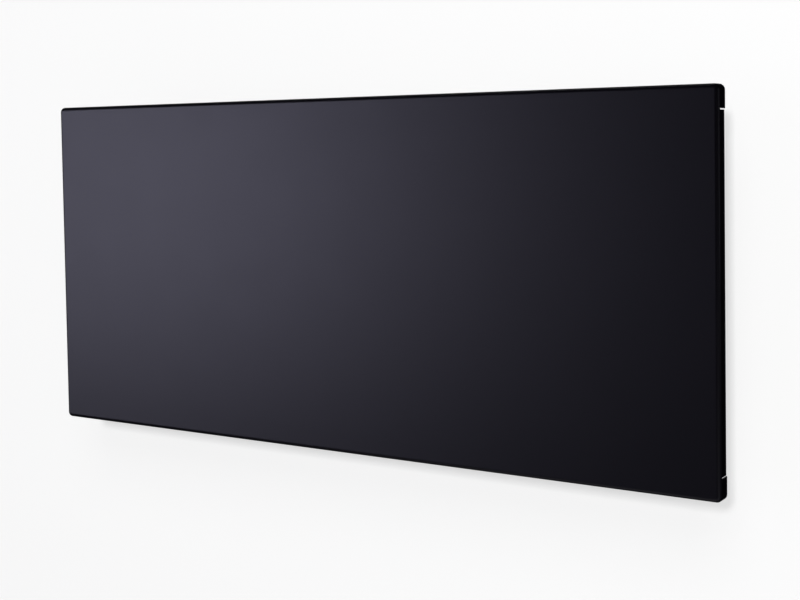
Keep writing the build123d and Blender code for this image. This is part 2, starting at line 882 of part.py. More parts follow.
def partition():
    """An angle that walls the controls off from the hot side."""
    half = casing_inner_z - sheet_bend - fit_gap
    points = [(partition_x, casing_front_y + partition_front_gap), (partition_x, casing_floor_y),
              (partition_far_x + partition_foot, casing_floor_y)]
    wall = fold(points, -casing_sheet, sheet_bend, Plane.XY, -half, half)
    start, end = partition_x - cut_margin, partition_far_x + cut_margin
    for z in element_legs:
        wall -= rod_x(element_y, z, start, end, bush_hole)
    wall -= rod_x(element_y, cutout_z, start, end, cutout_neck_radius + fit_gap)
    for z in partition_rivet_zs:
        wall -= rod_y(partition_rivet_x, z, casing_floor_y - casing_sheet - cut_margin,
                      casing_floor_y + cut_margin, rivet_radius + fit_gap)
    return wall


def partition_rivet(z):
    """A rivet through the partition's foot and the casing's back."""
    return rivet((partition_rivet_x, casing_floor_y - casing_sheet, z),
                 (partition_rivet_x, casing_back_y, z))


cutout_end_x = partition_far_x + cutout_neck
blade_zs = [cutout_z + side * cutout_blade_spacing / 2 for side in (-1, 1)]


def overheat_cutout():
    """A disc thermostat: its cap in the hot side, its two blades in the control side."""
    body = rod_x(element_y, cutout_z, partition_x - cutout_body, partition_x, cutout_radius)
    body = fillet(body.edges().group_by(Axis.X)[0], moulded_edge)
    body += rod_x(element_y, cutout_z, partition_x - cut_margin, cutout_end_x, cutout_neck_radius)
    for z in blade_zs:
        body += block(cutout_end_x - cut_margin, cutout_end_x + blade_length,
                      element_y - blade_width / 2, element_y + blade_width / 2,
                      z - blade_sheet / 2, z + blade_sheet / 2)
    return body


def cutout_clip():
    """A spring plate pushed over the cut-out's neck to hold it in the partition."""
    half = clip_plate_width / 2
    plate = block(partition_far_x, partition_far_x + clip_plate_sheet, element_y - half,
                  element_y + half, cutout_z - half, cutout_z + half)
    plate = fillet(plate.edges().filter_by(Axis.X), clip_plate_corner)
    return plate - rod_x(element_y, cutout_z, partition_x, cutout_end_x,
                         cutout_neck_radius + fit_gap)


save("partition_plate", partition())
save("casing_rivets",
     *[back_shield_rivet(x, z) for x in shield_rivet_xs for z in (-back_rivet_z, back_rivet_z)],
     *[front_shield_rivet(x, side) for x in shield_rivet_xs for side in (-1, 1)],
     *[support_rivet(x, z) for x, z in support_rivet_places],
     *[partition_rivet(z) for z in partition_rivet_zs])
save("overheat_cutout", overheat_cutout())
save("cutout_clip", cutout_clip())


# Control board, its pillars and what it carries

board_hole_places = [(x, z) for x in (board_left + board_hole_inset, board_right - board_hole_inset)
                     for z in (board_bottom + board_hole_inset, board_top - board_hole_inset)]
screw_hole = small_screw_radius + fit_gap


def control_board():
    """The main circuit board."""
    board = block(board_left, board_right, board_front_y, board_back_y, board_bottom, board_top)
    for x, z in board_hole_places:
        board -= rod_y(x, z, board_front_y - cut_margin, board_back_y + cut_margin, screw_hole)
    return board


def board_pillar(x, z):
    """A pressed-in pillar with a tapped hole."""
    pillar = rod_y(x, z, board_back_y, casing_floor_y, pillar_radius)
    return pillar - rod_y(x, z, board_back_y - cut_margin, casing_floor_y - cut_margin, screw_hole)


def board_screw(x, z):
    """A screw that holds the board on its pillar."""
    return screw((x, board_front_y, z), (0, 1, 0), small_screw_radius, board_screw_length,
                 small_screw_head_radius, small_screw_head)


def on_board(from_left, below_top, size):
    """A box-shaped piece that stands on the board, placed from the board's top left."""
    width, depth, height = size
    left, high = board_left + from_left, board_top - below_top
    return block(left, left + width, board_front_y - depth, board_front_y, high - height, high)


transformer_x = board_margin
part_row_1 = 2 * board_hole_inset + board_margin
part_row_2 = part_row_1 + transformer_size[2] + board_margin


def relay():
    """The relay that switches the element."""
    left = board_width - relay_size[0] - board_side_margin
    body = on_board(left, part_row_2 + board_margin, relay_size)
    return fillet(body.edges().filter_by(Axis.Y), moulded_edge)


def transformer():
    """A small mains transformer: a bobbin in a laminated core."""
    width, depth, height = transformer_size
    core = on_board(transformer_x, part_row_1, transformer_size)
    window_size = (width - 2 * transformer_core, depth, height - 2 * transformer_core)
    window = on_board(transformer_x + transformer_core, part_row_1 + transformer_core, window_size)
    return core - window


def transformer_winding():
    """The bobbin's winding in the core's window."""
    width, depth, height = transformer_size
    size = (width - 2 * transformer_core - 2 * fit_gap, depth - winding_inset,
            height - 2 * transformer_core - 2 * fit_gap)
    coil = on_board(transformer_x + transformer_core + fit_gap,
                    part_row_1 + transformer_core + fit_gap, size)
    return fillet(coil.edges().filter_by(Axis.Y), moulded_edge)


def capacitor(i):
    """A can capacitor that stands on the board."""
    x = board_left + board_width - (capacitor_radius + board_side_margin) - i * capacitor_pitch
    z = board_top - part_row_1 - capacitor_radius
    can = rod_y(x, z, board_front_y - capacitor_height, board_front_y, capacitor_radius)
    return fillet(can.edges().group_by(Axis.Y)[0], moulded_edge)


def heat_sink():
    """A finned aluminium sink for the power switch chip."""
    size = (sink_width, sink_depth, sink_height)
    sink = on_board(board_margin, part_row_2 + board_margin, size)
    pitch = (sink_width - sink_fin) / (sink_fin_count - 1)
    left = board_left + board_margin
    high = board_top - part_row_2 - board_margin
    for i in range(sink_fin_count - 1):
        gap_x = left + sink_fin + i * pitch
        sink -= block(gap_x, gap_x + pitch - sink_fin, board_front_y - sink_depth - cut_margin,
                      board_front_y - sink_base, high - sink_height - cut_margin,
                      high + cut_margin)
    return sink


def power_chip():
    """The power switch chip beside its sink."""
    return on_board(board_margin + sink_width, part_row_2 + sink_height - chip_size[2],
                    chip_size)


connector_y = board_front_y - connector_depth / 2
sensor_wire_x = board_left + connector_from_side
cutout_wire_x, *element_wire_xs, neutral_wire_x = [
    sensor_wire_x + connector_pitch * (i + 1) for i in range(4)]
cutout_plug_z = board_bottom + cutout_plug_rise
ribbon_x = board_right - ribbon_from_side - ribbon_width
load_wire_z = board_top - load_wire_drop


def connector(x0, x1, z0, z1):
    """A moulded connector housing on the board's front."""
    body = block(x0, x1, board_front_y - connector_depth, board_front_y, z0, z1)
    return chamfer(body.edges().filter_by(Axis.Y), moulded_edge / 2)


def board_connectors():
    """The housings into which the wires plug."""
    half = connector_pitch / 2
    low, high = board_bottom, board_bottom + connector_height
    ribbon_low = board_top - connector_height
    switch_low = load_wire_z - connector_height / 2
    return [connector(sensor_wire_x - half, sensor_wire_x + half, low, high),
            connector(element_wire_xs[0] - half, neutral_wire_x + half, low, high),
            connector(ribbon_x, ribbon_x + ribbon_width, ribbon_low, board_top),
            connector(board_right - connector_height, board_right, switch_low,
                      switch_low + connector_height)]


def cutout_connector():
    """The low housing that the cut-out's leads enter from the front."""
    half = cutout_plug_height / 2
    return block(cutout_wire_x - connector_pitch / 2, cutout_wire_x + connector_pitch / 2,
                 connector_y, board_front_y, cutout_plug_z - half, cutout_plug_z + half)


save("control_board", control_board())
save("board_pillars", *[board_pillar(x, z) for x, z in board_hole_places])
save("board_screws", *[board_screw(x, z) for x, z in board_hole_places])
save("relay", relay())
save("transformer_core", transformer())
save("transformer_winding", transformer_winding())
save("capacitors", *[capacitor(i) for i in (0, 1)])
save("heat_sink", heat_sink())
save("power_chip", power_chip())
save("board_connectors", *board_connectors(), cutout_connector())


# Control housing in the casing's top

deck_z = casing_top_z + control_deck
housing_bottom_z = casing_top_z - control_depth
key_board_z = deck_z - key_board_drop
last_button_x = control_x + control_length / 2 - button_from_end
button_xs = [last_button_x - i * button_pitch for i in (2, 1, 0)]
window_left = control_x - control_length / 2 + window_from_end
window_length = button_xs[0] - window_to_button - window_left
window_x = window_left + window_length / 2


def centred(x, y, length, width, z0, z1):
    """A box centred on a point of the plan."""
    return block(x - length / 2, x + length / 2, y - width / 2, y + width / 2, z0, z1)


def control_housing():
    """A moulded tub hung by its flange, with openings for display and buttons."""
    y = casing_middle_y
    flange = centred(control_x, y, control_length + 2 * control_flange,
                     control_width + 2 * control_flange, casing_top_z, deck_z)
    flange = fillet(flange.edges().filter_by(Axis.Z), control_corner)
    flange = fillet(flange.faces().sort_by(Axis.Z)[-1].edges(), control_deck / 2)
    tub = centred(control_x, y, control_length, control_width, housing_bottom_z, casing_top_z)
    tub -= centred(control_x, y, control_length - 2 * control_wall,
                   control_width - 2 * control_wall, housing_bottom_z - cut_margin, casing_top_z)
    housing = flange + tub
    for side in (-1, 1):
        wall = y + side * control_width / 2
        housing += centred(control_x, wall + side * control_lug / 2, control_lug_length,
                           control_lug, casing_inner_z - fit_gap - control_lug_height,
                           casing_inner_z - fit_gap)
        inner_x = control_x + side * (control_length / 2 - control_wall - key_ledge / 2)
        housing += centred(inner_x, y, key_ledge + fit_gap, control_width - 2 * control_wall,
                           key_board_z - key_board_sheet - key_ledge,
                           key_board_z - key_board_sheet)
    housing -= centred(window_x, y, window_length + 2 * fit_gap, window_width + 2 * fit_gap,
                       deck_z - window_sheet, deck_z + cut_margin)
    housing -= centred(window_x, y, window_length - 2 * window_ledge,
                       window_width - 2 * window_ledge, casing_top_z - cut_margin, deck_z)
    for x in button_xs:
        housing -= rod_z(x, y, casing_top_z - cut_margin, deck_z + cut_margin,
                         button_radius + button_gap)
    return housing


def display_window():
    """A clear pane set flush in the deck."""
    pane = centred(window_x, casing_middle_y, window_length, window_width,
                   deck_z - window_sheet, deck_z)
    return fillet(pane.edges().filter_by(Axis.Z), window_corner)


def display_module():
    """The digit display that stands on the key board under the window."""
    return centred(window_x, casing_middle_y, window_length - 2 * display_margin,
                   window_width - 2 * display_margin, key_board_z, casing_top_z - display_gap)


def key_board():
    """The small board that carries the display and the key switches."""
    return centred(control_x, casing_middle_y,
                   control_length - 2 * control_wall - 2 * key_board_gap,
                   control_width - 2 * control_wall - 2 * key_board_gap,
                   key_board_z - key_board_sheet, key_board_z)


def key_switch(x):
    """A key switch whose well takes a button's stem."""
    top = key_board_z + key_switch_height
    body = centred(x, casing_middle_y, key_switch_size, key_switch_size, key_board_z, top)
    well = key_stem_entry + button_travel + key_stem_gap
    return body - rod_z(x, casing_middle_y, top - well, top + cut_margin,
                        button_stem_radius + button_gap)


def button(x):
    """A round cap with a retaining collar and a stem down into its switch."""
    y = casing_middle_y
    top = deck_z + button_proud
    collar_top = casing_top_z - seat_gap
    stem_end = key_board_z + key_switch_height - key_stem_entry
    cap = rod_z(x, y, collar_top - cut_margin, top, button_radius)
    cap = fillet(cap.edges().group_by(Axis.Z)[-1], button_proud / 2)
    collar = rod_z(x, y, collar_top - button_collar_height, collar_top,
                   button_radius + button_collar)
    return cap + collar + rod_z(x, y, stem_end, collar_top - cut_margin / 2, button_stem_radius)


save("control_housing", control_housing())
save("display_window", display_window())
save("display_module", display_module())
save("key_board", key_board())
save("key_switches", *[key_switch(x) for x in button_xs])
save("button_down", button(button_xs[0]))
save("button_up", button(button_xs[1]))
save("button_mode", button(button_xs[2]))


# Rocker power switch

pivot_x = cap_outer_x + switch_flange_sheet - rocker_pivot_depth
switch_back_x = cap_outer_x - switch_depth
cavity_half_y = switch_length / 2 - switch_cavity_wall
cavity_half_z = switch_width / 2 - switch_cavity_wall
rocker_half_y = cavity_half_y - rocker_end_gap
rocker_half_z = cavity_half_z - rocker_side_gap


def at_switch(x0, x1, half_y, half_z):
    """A box centred on the switch, from one depth to another."""
    return block(x0, x1, casing_middle_y - half_y, casing_middle_y + half_y,
                 switch_z - half_z, switch_z + half_z)


def rocker_housing():
    """The switch body, snapped into the end cap, with two blades behind."""
    face_x = cap_outer_x + switch_flange_sheet
    flange = at_switch(cap_outer_x, face_x, switch_length / 2 + switch_flange,
                       switch_width / 2 + switch_flange)
    flange = fillet(flange.faces().sort_by(Axis.X)[-1].edges(), switch_edge)
    body = flange + at_switch(switch_back_x, cap_outer_x, switch_length / 2, switch_width / 2)
    body -= at_switch(face_x - switch_cavity_depth, face_x + cut_margin, cavity_half_y,
                      cavity_half_z)
    body -= rod_z(pivot_x, casing_middle_y, switch_z - switch_width / 2 - cut_margin,
                  switch_z + switch_width / 2 + cut_margin, rocker_pin_radius + rocker_pin_gap)
    for y in switch_blade_ys:
        body += block(switch_back_x - blade_length, switch_back_x + cut_margin,
                      y - blade_sheet / 2, y + blade_sheet / 2,
                      switch_z - blade_width / 2, switch_z + blade_width / 2)
    return body


def rocker():
    """A rocker with a shallow V face, tipped to its off side, on two stub pins."""
    ends = rocker_half_y
    points = [(-rocker_foot_depth, -rocker_foot_half), (0, -ends), (rocker_end_rise, -ends),
              (rocker_middle_rise, 0), (rocker_end_rise, ends), (0, ends),
              (-rocker_foot_depth, rocker_foot_half)]
    face = Polygon(*points, align=None)
    body = Pos(0, 0, -rocker_half_z) * extrude(face, amount=2 * rocker_half_z)
    body = fillet(body.edges().filter_by(Axis.Z).group_by(Axis.X)[-1], moulded_edge)
    pins = switch_width / 2 - fit_gap
    body += rod_z(0, 0, -pins, pins, rocker_pin_radius)
    return Pos(pivot_x, casing_middle_y, switch_z) * Rot(0, 0, rocker_tilt) * body


switch_blade_ys = [casing_middle_y + side * switch_blade_spacing / 2 for side in (-1, 1)]
flag_x = switch_back_x - flag_depth / 2 - flag_from_switch
flag_bottom_z = switch_z + flag_width / 2 - flag_length


def flag_terminal(y):
    """An insulated flag terminal pushed on to a blade, with its wire going down."""
    cover = block(flag_x - flag_depth / 2, flag_x + flag_depth / 2, y - flag_width / 2,
                  y + flag_width / 2, flag_bottom_z, switch_z + flag_width / 2)
    cover = fillet(cover.edges().filter_by(Axis.Z), moulded_edge)
    return cover - block(switch_back_x - blade_length - fit_gap, switch_back_x,
                         y - blade_sheet / 2 - fit_gap, y + blade_sheet / 2 + fit_gap,
                         switch_z - blade_width / 2 - fit_gap,
                         switch_z + blade_width / 2 + fit_gap)


save("rocker_housing", rocker_housing())
save("rocker", rocker())
save("flag_terminals", *[flag_terminal(y) for y in switch_blade_ys])


# Mains entry: gland, terminal block, earth stud

block_z = casing_bottom_z + block_above_bottom
pole_xs = [gland_x + i * terminal_pitch for i in (-1, 0, 1)]
block_front_y = casing_floor_y - terminal_block_depth
pole_y = casing_floor_y - terminal_block_depth / 2
earth_x = casing_end_x - earth_from_end
earth_z = casing_bottom_z + earth_above_bottom
gland_shoulder_z = casing_bottom_z - gland_hex_height


def hexagon(x, y, z0, z1, radius):
    """A six-sided prism on a vertical axis."""
    return Pos(x, y, z0) * extrude(RegularPolygon(radius, 6), amount=z1 - z0)


def gland_body():
    """The gland's hexagon, its thread through the casing and its clamping cone."""
    x, y = gland_x, casing_middle_y
    top = casing_bottom_z + gland_thread_length
    bottom = gland_shoulder_z - gland_cone_height
    body = hexagon(x, y, gland_shoulder_z, casing_bottom_z, gland_hex_radius)
    body += rod_z(x, y, casing_bottom_z - cut_margin, top, gland_thread_radius)
    body += rod_z(x, y, bottom, gland_shoulder_z + cut_margin, gland_cone_radius)
    return body - rod_z(x, y, bottom - cut_margin, top + cut_margin, gland_bore_radius)


def gland_cap():
    """The domed cap that squeezes the gland round a cord."""
    x, y = gland_x, casing_middle_y
    top = gland_shoulder_z - fit_gap
    bottom = gland_shoulder_z - gland_cone_height - gland_cap_wall
    cap = rod_z(x, y, bottom, top, gland_cap_radius)
    cap = fillet(cap.edges().group_by(Axis.Z)[0], gland_cap_wall)
    cap -= rod_z(x, y, bottom + gland_cap_wall - fit_gap, top + cut_margin,
                 gland_cone_radius + fit_gap)
    return cap - rod_z(x, y, bottom - cut_margin, top, gland_bore_radius + gland_cap_ease)


def gland_nut():
    """The lock nut inside the casing."""
    floor = casing_bottom_z + casing_sheet
    nut = hexagon(gland_x, casing_middle_y, floor, floor + gland_nut_height, gland_hex_radius)
    return nut - rod_z(gland_x, casing_middle_y, floor - cut_margin,
                       floor + gland_nut_height + cut_margin, gland_thread_radius + fit_gap)


terminal_screw_zs = [block_z + side * terminal_screw_spacing / 2 for side in (-1, 1)]


def terminal_block():
    """A three-pole block: supply wires enter below and inner wires leave above."""
    body = block(gland_x - terminal_block_width / 2, gland_x + terminal_block_width / 2,
                 block_front_y, casing_floor_y, block_z - terminal_block_height / 2,
                 block_z + terminal_block_height / 2)
    body = fillet(body.faces().sort_by(Axis.Y)[0].edges(), moulded_edge)
    for x in pole_xs:
        for z in terminal_screw_zs:
            body -= rod_y(x, z, block_front_y - cut_margin, block_front_y + terminal_well_depth,
                          terminal_screw_radius + fit_gap)
    return body


def terminal_screw(x, z):
    """A slotted grub screw down a well of the block."""
    floor = block_front_y + terminal_well_depth
    top = floor - terminal_screw_height
    body = rod_y(x, z, top, floor, terminal_screw_radius)
    return body - block(x - terminal_screw_radius, x + terminal_screw_radius,
                        top - cut_margin, top + screw_slot_depth,
                        z - screw_slot_width / 2, z + screw_slot_width / 2)


lug_y = (casing_floor_y - lug_sheet, casing_floor_y)
washer_y = (lug_y[0] - earth_washer_sheet, lug_y[0])
nut_y = (washer_y[0] - earth_nut_height, washer_y[0])
earth_hole = earth_stud_radius + fit_gap


def earth_stud():
    """A stud welded to the casing's back."""
    return rod_y(earth_x, earth_z, casing_floor_y - earth_stud_length, casing_floor_y,
                 earth_stud_radius)


def earth_lug():
    """A ring lug with a tail, crimped to the earth wire."""
    lug = rod_y(earth_x, earth_z, *lug_y, lug_radius)
    lug += block(earth_x - lug_radius / 2, earth_x + lug_radius / 2, *lug_y,
                 earth_z - lug_tail, earth_z)
    return lug - rod_y(earth_x, earth_z, lug_y[0] - cut_margin, lug_y[1] + cut_margin, earth_hole)


def earth_washer():
    """A washer between the lug and the nut."""
    washer = rod_y(earth_x, earth_z, *washer_y, earth_washer_radius)
    return washer - rod_y(earth_x, earth_z, washer_y[0] - cut_margin, washer_y[1] + cut_margin,
                          earth_hole)


def earth_nut():
    """The nut that clamps the lug."""
    prism = Rot(90, 0, 0) * extrude(RegularPolygon(earth_nut_radius, 6), amount=earth_nut_height)
    nut = Pos(earth_x, nut_y[1], earth_z) * prism
    return nut - rod_y(earth_x, earth_z, nut_y[0] - cut_margin, nut_y[1] + cut_margin, earth_hole)


save("cable_gland_body", gland_body())
save("cable_gland_cap", gland_cap())
save("cable_gland_nut", gland_nut())
save("terminal_block", terminal_block())
save("terminal_screws", *[terminal_screw(x, z) for x in pole_xs for z in terminal_screw_zs])
save("earth_stud", earth_stud())
save("earth_lug_washer_nut", earth_lug(), earth_washer(), earth_nut())


# Room sensor

def room_sensor():
    """A sensor body on the casing's bottom, with its probe in the incoming air."""
    floor = casing_bottom_z + casing_sheet
    body = rod_z(sensor_x, casing_middle_y, floor, floor + sensor_body_height, sensor_body_radius)
    body = fillet(body.edges().group_by(Axis.Z)[-1], moulded_edge)
    probe = rod_z(sensor_x, casing_middle_y, casing_bottom_z - sensor_probe_below,
                  floor + cut_margin, sensor_probe_radius)
    tip = probe.edges().group_by(Axis.Z)[0]
    return body + fillet(tip, sensor_probe_radius / 2)


save("room_sensor", room_sensor())


# Inner wiring

block_top_z = block_z + terminal_block_height / 2
block_bottom_z = block_z - terminal_block_height / 2
pin_end_x = element_end_x + bead_length + pin_length
neutral_pole_x, earth_pole_x, live_pole_x = pole_xs
channel_x = (board_right + rim_end_x) / 2


def element_leads():
    """Two leads from the rod's pins up to the board."""
    low, high = element_legs
    first_x, second_x = element_wire_xs
    return [wire([(pin_end_x, element_y, high), (first_x, element_y, high),
                  (first_x, connector_y, high + lead_slant), (first_x, connector_y, board_bottom)],
                 lead_radius),
            wire([(pin_end_x, element_y, low), (second_x, element_y, low),
                  (second_x, connector_y, high), (second_x, connector_y, board_bottom)],
                 lead_radius)]


def cutout_leads():
    """Two leads from the cut-out's blades to the board."""
    start = cutout_end_x + blade_length
    plug_zs = [cutout_plug_z + z - cutout_z for z in blade_zs]
    return [wire([(start, element_y, z), (cutout_wire_x, element_y, z),
                  (cutout_wire_x, connector_y, plug_z)], lead_radius)
            for z, plug_z in zip(blade_zs, plug_zs)]


def mains_wires():
    """Live to the switch, switched live to the board, and neutral to the board."""
    load_y, live_y = switch_blade_ys
    back_y = casing_floor_y - live_from_back
    live_top, neutral_top = block_top_z + live_rise, block_top_z + neutral_rise
    flag_low = flag_bottom_z - flag_drop
    live = [(live_pole_x, pole_y, block_top_z), (live_pole_x, pole_y, live_top),
            (channel_x, back_y, live_top + live_slant), (channel_x, back_y, flag_low - flag_slant),
            (flag_x, live_y, flag_low), (flag_x, live_y, flag_bottom_z)]
    load = [(flag_x, load_y, flag_bottom_z), (flag_x, load_y, flag_bottom_z - load_drop),
            (channel_x, connector_y, load_wire_z), (board_right, connector_y, load_wire_z)]
    neutral = [(neutral_pole_x, pole_y, block_top_z), (neutral_pole_x, pole_y, neutral_top),
               (neutral_wire_x, connector_y, board_bottom - neutral_drop),
               (neutral_wire_x, connector_y, board_bottom)]
    return [wire(points, mains_wire_radius) for points in (live, load, neutral)]


def earth_wire():
    """The green and yellow wire from the block's middle pole to the stud's lug."""
    wire_y = casing_floor_y - mains_wire_radius - fit_gap
    lug_low = earth_z - lug_tail
    turn_z = lug_low - earth_turn
    return wire([(earth_pole_x, pole_y, block_bottom_z),
                 (earth_pole_x, pole_y, block_bottom_z - earth_drop),
                 (earth_pole_x + earth_run, pole_y + earth_lean, turn_z),
                 (earth_x, wire_y, turn_z), (earth_x, wire_y, lug_low)], mains_wire_radius)


def sensor_lead():
    """The thin lead from the room sensor up to the board."""
    top = casing_bottom_z + casing_sheet + sensor_body_height
    bend_z = top + sensor_rise
    return wire([(sensor_x, casing_middle_y, top), (sensor_x, casing_middle_y, bend_z),
                 (sensor_wire_x, connector_y, bend_z + sensor_slant),
                 (sensor_wire_x, connector_y, board_bottom)], lead_radius)


def display_ribbon():
    """A flat ribbon from the board's top up to the key board."""
    bend_z = board_top + ribbon_rise
    points = [(connector_y, board_top), (connector_y, bend_z),
              (casing_middle_y, bend_z + ribbon_slant),
              (casing_middle_y, key_board_z - key_board_sheet)]
    return fold(points, ribbon_sheet, ribbon_bend, Plane.YZ, ribbon_x, ribbon_x + ribbon_width)


save("element_leads", *element_leads())
save("cutout_leads", *cutout_leads())
save("mains_wires", *mains_wires())
save("earth_wire", earth_wire())
save("sensor_lead", sensor_lead())
save("display_ribbon", display_ribbon())
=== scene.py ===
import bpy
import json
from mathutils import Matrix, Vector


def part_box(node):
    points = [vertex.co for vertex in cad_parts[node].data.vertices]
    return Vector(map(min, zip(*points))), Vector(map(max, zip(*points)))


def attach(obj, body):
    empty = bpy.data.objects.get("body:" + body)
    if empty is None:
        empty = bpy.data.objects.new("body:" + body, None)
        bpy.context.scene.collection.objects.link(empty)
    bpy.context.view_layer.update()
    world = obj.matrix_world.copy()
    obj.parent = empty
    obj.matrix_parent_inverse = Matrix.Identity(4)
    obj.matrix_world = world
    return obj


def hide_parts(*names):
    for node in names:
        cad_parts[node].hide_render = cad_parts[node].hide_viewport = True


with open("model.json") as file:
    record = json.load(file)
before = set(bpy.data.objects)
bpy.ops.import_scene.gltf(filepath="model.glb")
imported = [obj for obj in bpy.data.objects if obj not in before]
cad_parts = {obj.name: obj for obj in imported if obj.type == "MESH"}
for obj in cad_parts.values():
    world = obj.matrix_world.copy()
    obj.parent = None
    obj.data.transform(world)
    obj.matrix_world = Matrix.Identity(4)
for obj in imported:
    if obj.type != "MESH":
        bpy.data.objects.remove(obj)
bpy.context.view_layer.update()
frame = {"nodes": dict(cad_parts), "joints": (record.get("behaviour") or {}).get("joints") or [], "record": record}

import json
from math import radians

import bmesh
import bpy
from mathutils import Matrix, Vector

MM = 0.001
nodes = frame["nodes"]


# Rear casing: folded sheet steel, punched with rows of slots and powder-coated matt black.
# Its rivets are plain steel, set after the coat, so their heads stay bare.

# A noise keeps near its middle, so a finish is spread over these parts of its range.
noise_core, noise_span, sheen_patch = (0.35, 0.65), (0.3, 0.7), 0.37


def surface_finish(name, light, dark, patch, roughness, grain, relief, metallic=0.0, extra=None):
    """A finish whose colour and roughness drift over patches, with a fine grain in its surface."""
    made = bpy.data.materials.new(name)
    made.use_nodes = True
    tree = made.node_tree
    shader = tree.nodes["Principled BSDF"]
    shader.inputs["Metallic"].default_value = metallic
    for socket, value in (extra or {}).items():
        shader.inputs[socket].default_value = value
    place = tree.nodes.new("ShaderNodeTexCoord")

    def clouds(size, detail):
        noise = tree.nodes.new("ShaderNodeTexNoise")
        noise.inputs["Scale"].default_value = 1 / size
        noise.inputs["Detail"].default_value = detail
        tree.links.new(place.outputs["Object"], noise.inputs["Vector"])
        return noise.outputs[0]

    ramp = tree.nodes.new("ShaderNodeValToRGB")
    for stop, position, colour in zip(ramp.color_ramp.elements, noise_core, (dark, light)):
        stop.position = position
        stop.color = (*colour, 1)
    tree.links.new(clouds(patch, 3), ramp.inputs["Fac"])
    tree.links.new(ramp.outputs["Color"], shader.inputs["Base Color"])
    spread = tree.nodes.new("ShaderNodeMapRange")
    spread.inputs["From Min"].default_value, spread.inputs["From Max"].default_value = noise_span
    spread.inputs["To Min"].default_value, spread.inputs["To Max"].default_value = roughness
    tree.links.new(clouds(patch * sheen_patch, 4), spread.inputs["Value"])
    tree.links.new(spread.outputs[0], shader.inputs["Roughness"])
    bump = tree.nodes.new("ShaderNodeBump")
    bump.inputs["Strength"].default_value = 1.0
    bump.inputs["Distance"].default_value = relief
    tree.links.new(clouds(grain, 2), bump.inputs["Height"])
    tree.links.new(bump.outputs["Normal"], shader.inputs["Normal"])
    return made


def dress(material, *names):
    """Gives these solids the finish."""
    for name in names:
        for place in nodes[name].material_slots:
            place.material = material


casing_paint = surface_finish("casing_paint", (0.021, 0.021, 0.022), (0.016, 0.016, 0.017),
                              60 * MM, (0.48, 0.6), 0.8 * MM, 0.07 * MM)
rivet_steel = surface_finish("rivet_steel", (0.52, 0.52, 0.52), (0.4, 0.4, 0.41),
                             4 * MM, (0.25, 0.4), 0.5 * MM, 0.01 * MM, metallic=1.0)
dress(casing_paint, "rear_casing")
dress(rivet_steel, "casing_rivets")


# Heat shields: thin aluminised sheet behind and before the element, riveted to the casing.
# The coat is bright and slightly cloudy.

aluminised_steel = surface_finish("aluminised_steel", (0.66, 0.66, 0.65), (0.55, 0.55, 0.55),
                                  25 * MM, (0.3, 0.42), 1.0 * MM, 0.01 * MM, metallic=1.0)
dress(aluminised_steel, "back_heat_shield", "front_heat_shield")


# Element: a steel-sheathed rod bent into a long U, pressed through aluminium fins.
# Two galvanised brackets hold it by ceramic bushes, and ceramic beads close its ends.

sheath_steel = surface_finish("sheath_steel", (0.42, 0.36, 0.28), (0.22, 0.2, 0.22),
                              18 * MM, (0.32, 0.5), 0.8 * MM, 0.01 * MM, metallic=1.0)
fin_aluminium = surface_finish("fin_aluminium", (0.8, 0.81, 0.82), (0.68, 0.69, 0.7),
                               12 * MM, (0.25, 0.36), 0.6 * MM, 0.01 * MM, metallic=1.0)
ceramic = surface_finish("ceramic", (0.84, 0.81, 0.75), (0.76, 0.73, 0.66),
                         3 * MM, (0.35, 0.5), 0.4 * MM, 0.01 * MM)
zinc_grain, zinc_relief, zinc_metallic, zinc_patch_crystals = 0.5 * MM, 0.006 * MM, 0.85, 8


def spangle_finish(name, light, dark, crystal, roughness):
    """Galvanised sheet: zinc crystals, each with its own grey, under a soft sheen."""
    made = surface_finish(name, light, dark, zinc_patch_crystals * crystal, roughness, zinc_grain,
                          zinc_relief, metallic=zinc_metallic)
    tree = made.node_tree
    shader = tree.nodes["Principled BSDF"]
    place = next(n for n in tree.nodes if n.type == "TEX_COORD")
    crystals = tree.nodes.new("ShaderNodeTexVoronoi")
    crystals.inputs["Scale"].default_value = 1 / crystal
    tree.links.new(place.outputs["Object"], crystals.inputs["Vector"])
    grey = tree.nodes.new("ShaderNodeValToRGB")
    for stop, colour in zip(grey.color_ramp.elements, (dark, light)):
        stop.color = (*colour, 1)
    tree.links.new(crystals.outputs["Color"], grey.inputs["Fac"])
    tree.links.new(grey.outputs["Color"], shader.inputs["Base Color"])
    return made


galvanised_steel = spangle_finish("galvanised_steel", (0.62, 0.63, 0.65), (0.42, 0.43, 0.45),
                                  4 * MM, (0.34, 0.46))
dress(sheath_steel, "element_rod", "element_pins")
dress(fin_aluminium, "element_fins")
dress(galvanised_steel, "element_supports")
dress(ceramic, "element_bushes", "element_end_beads")


# Partition and overheat cut-out: a galvanised plate shuts the hot side off, and a phenolic disc
# with two blades hangs on it in a spring-steel clip.

spring_steel = surface_finish("spring_steel", (0.32, 0.34, 0.4), (0.22, 0.24, 0.3),
                              9 * MM, (0.28, 0.4), 0.6 * MM, 0.008 * MM, metallic=1.0)
cutout_body = surface_finish("cutout_body", (0.06, 0.055, 0.05), (0.04, 0.036, 0.033),
                             3 * MM, (0.45, 0.6), 0.4 * MM, 0.01 * MM)
dress(galvanised_steel, "partition_plate")
dress(cutout_body, "overheat_cutout")
dress(spring_steel, "cutout_clip")


# Main circuit board: green laminate on four brass pillars, with its relay, transformer,
# capacitors, power chip on a finned heat sink, and nylon connectors.

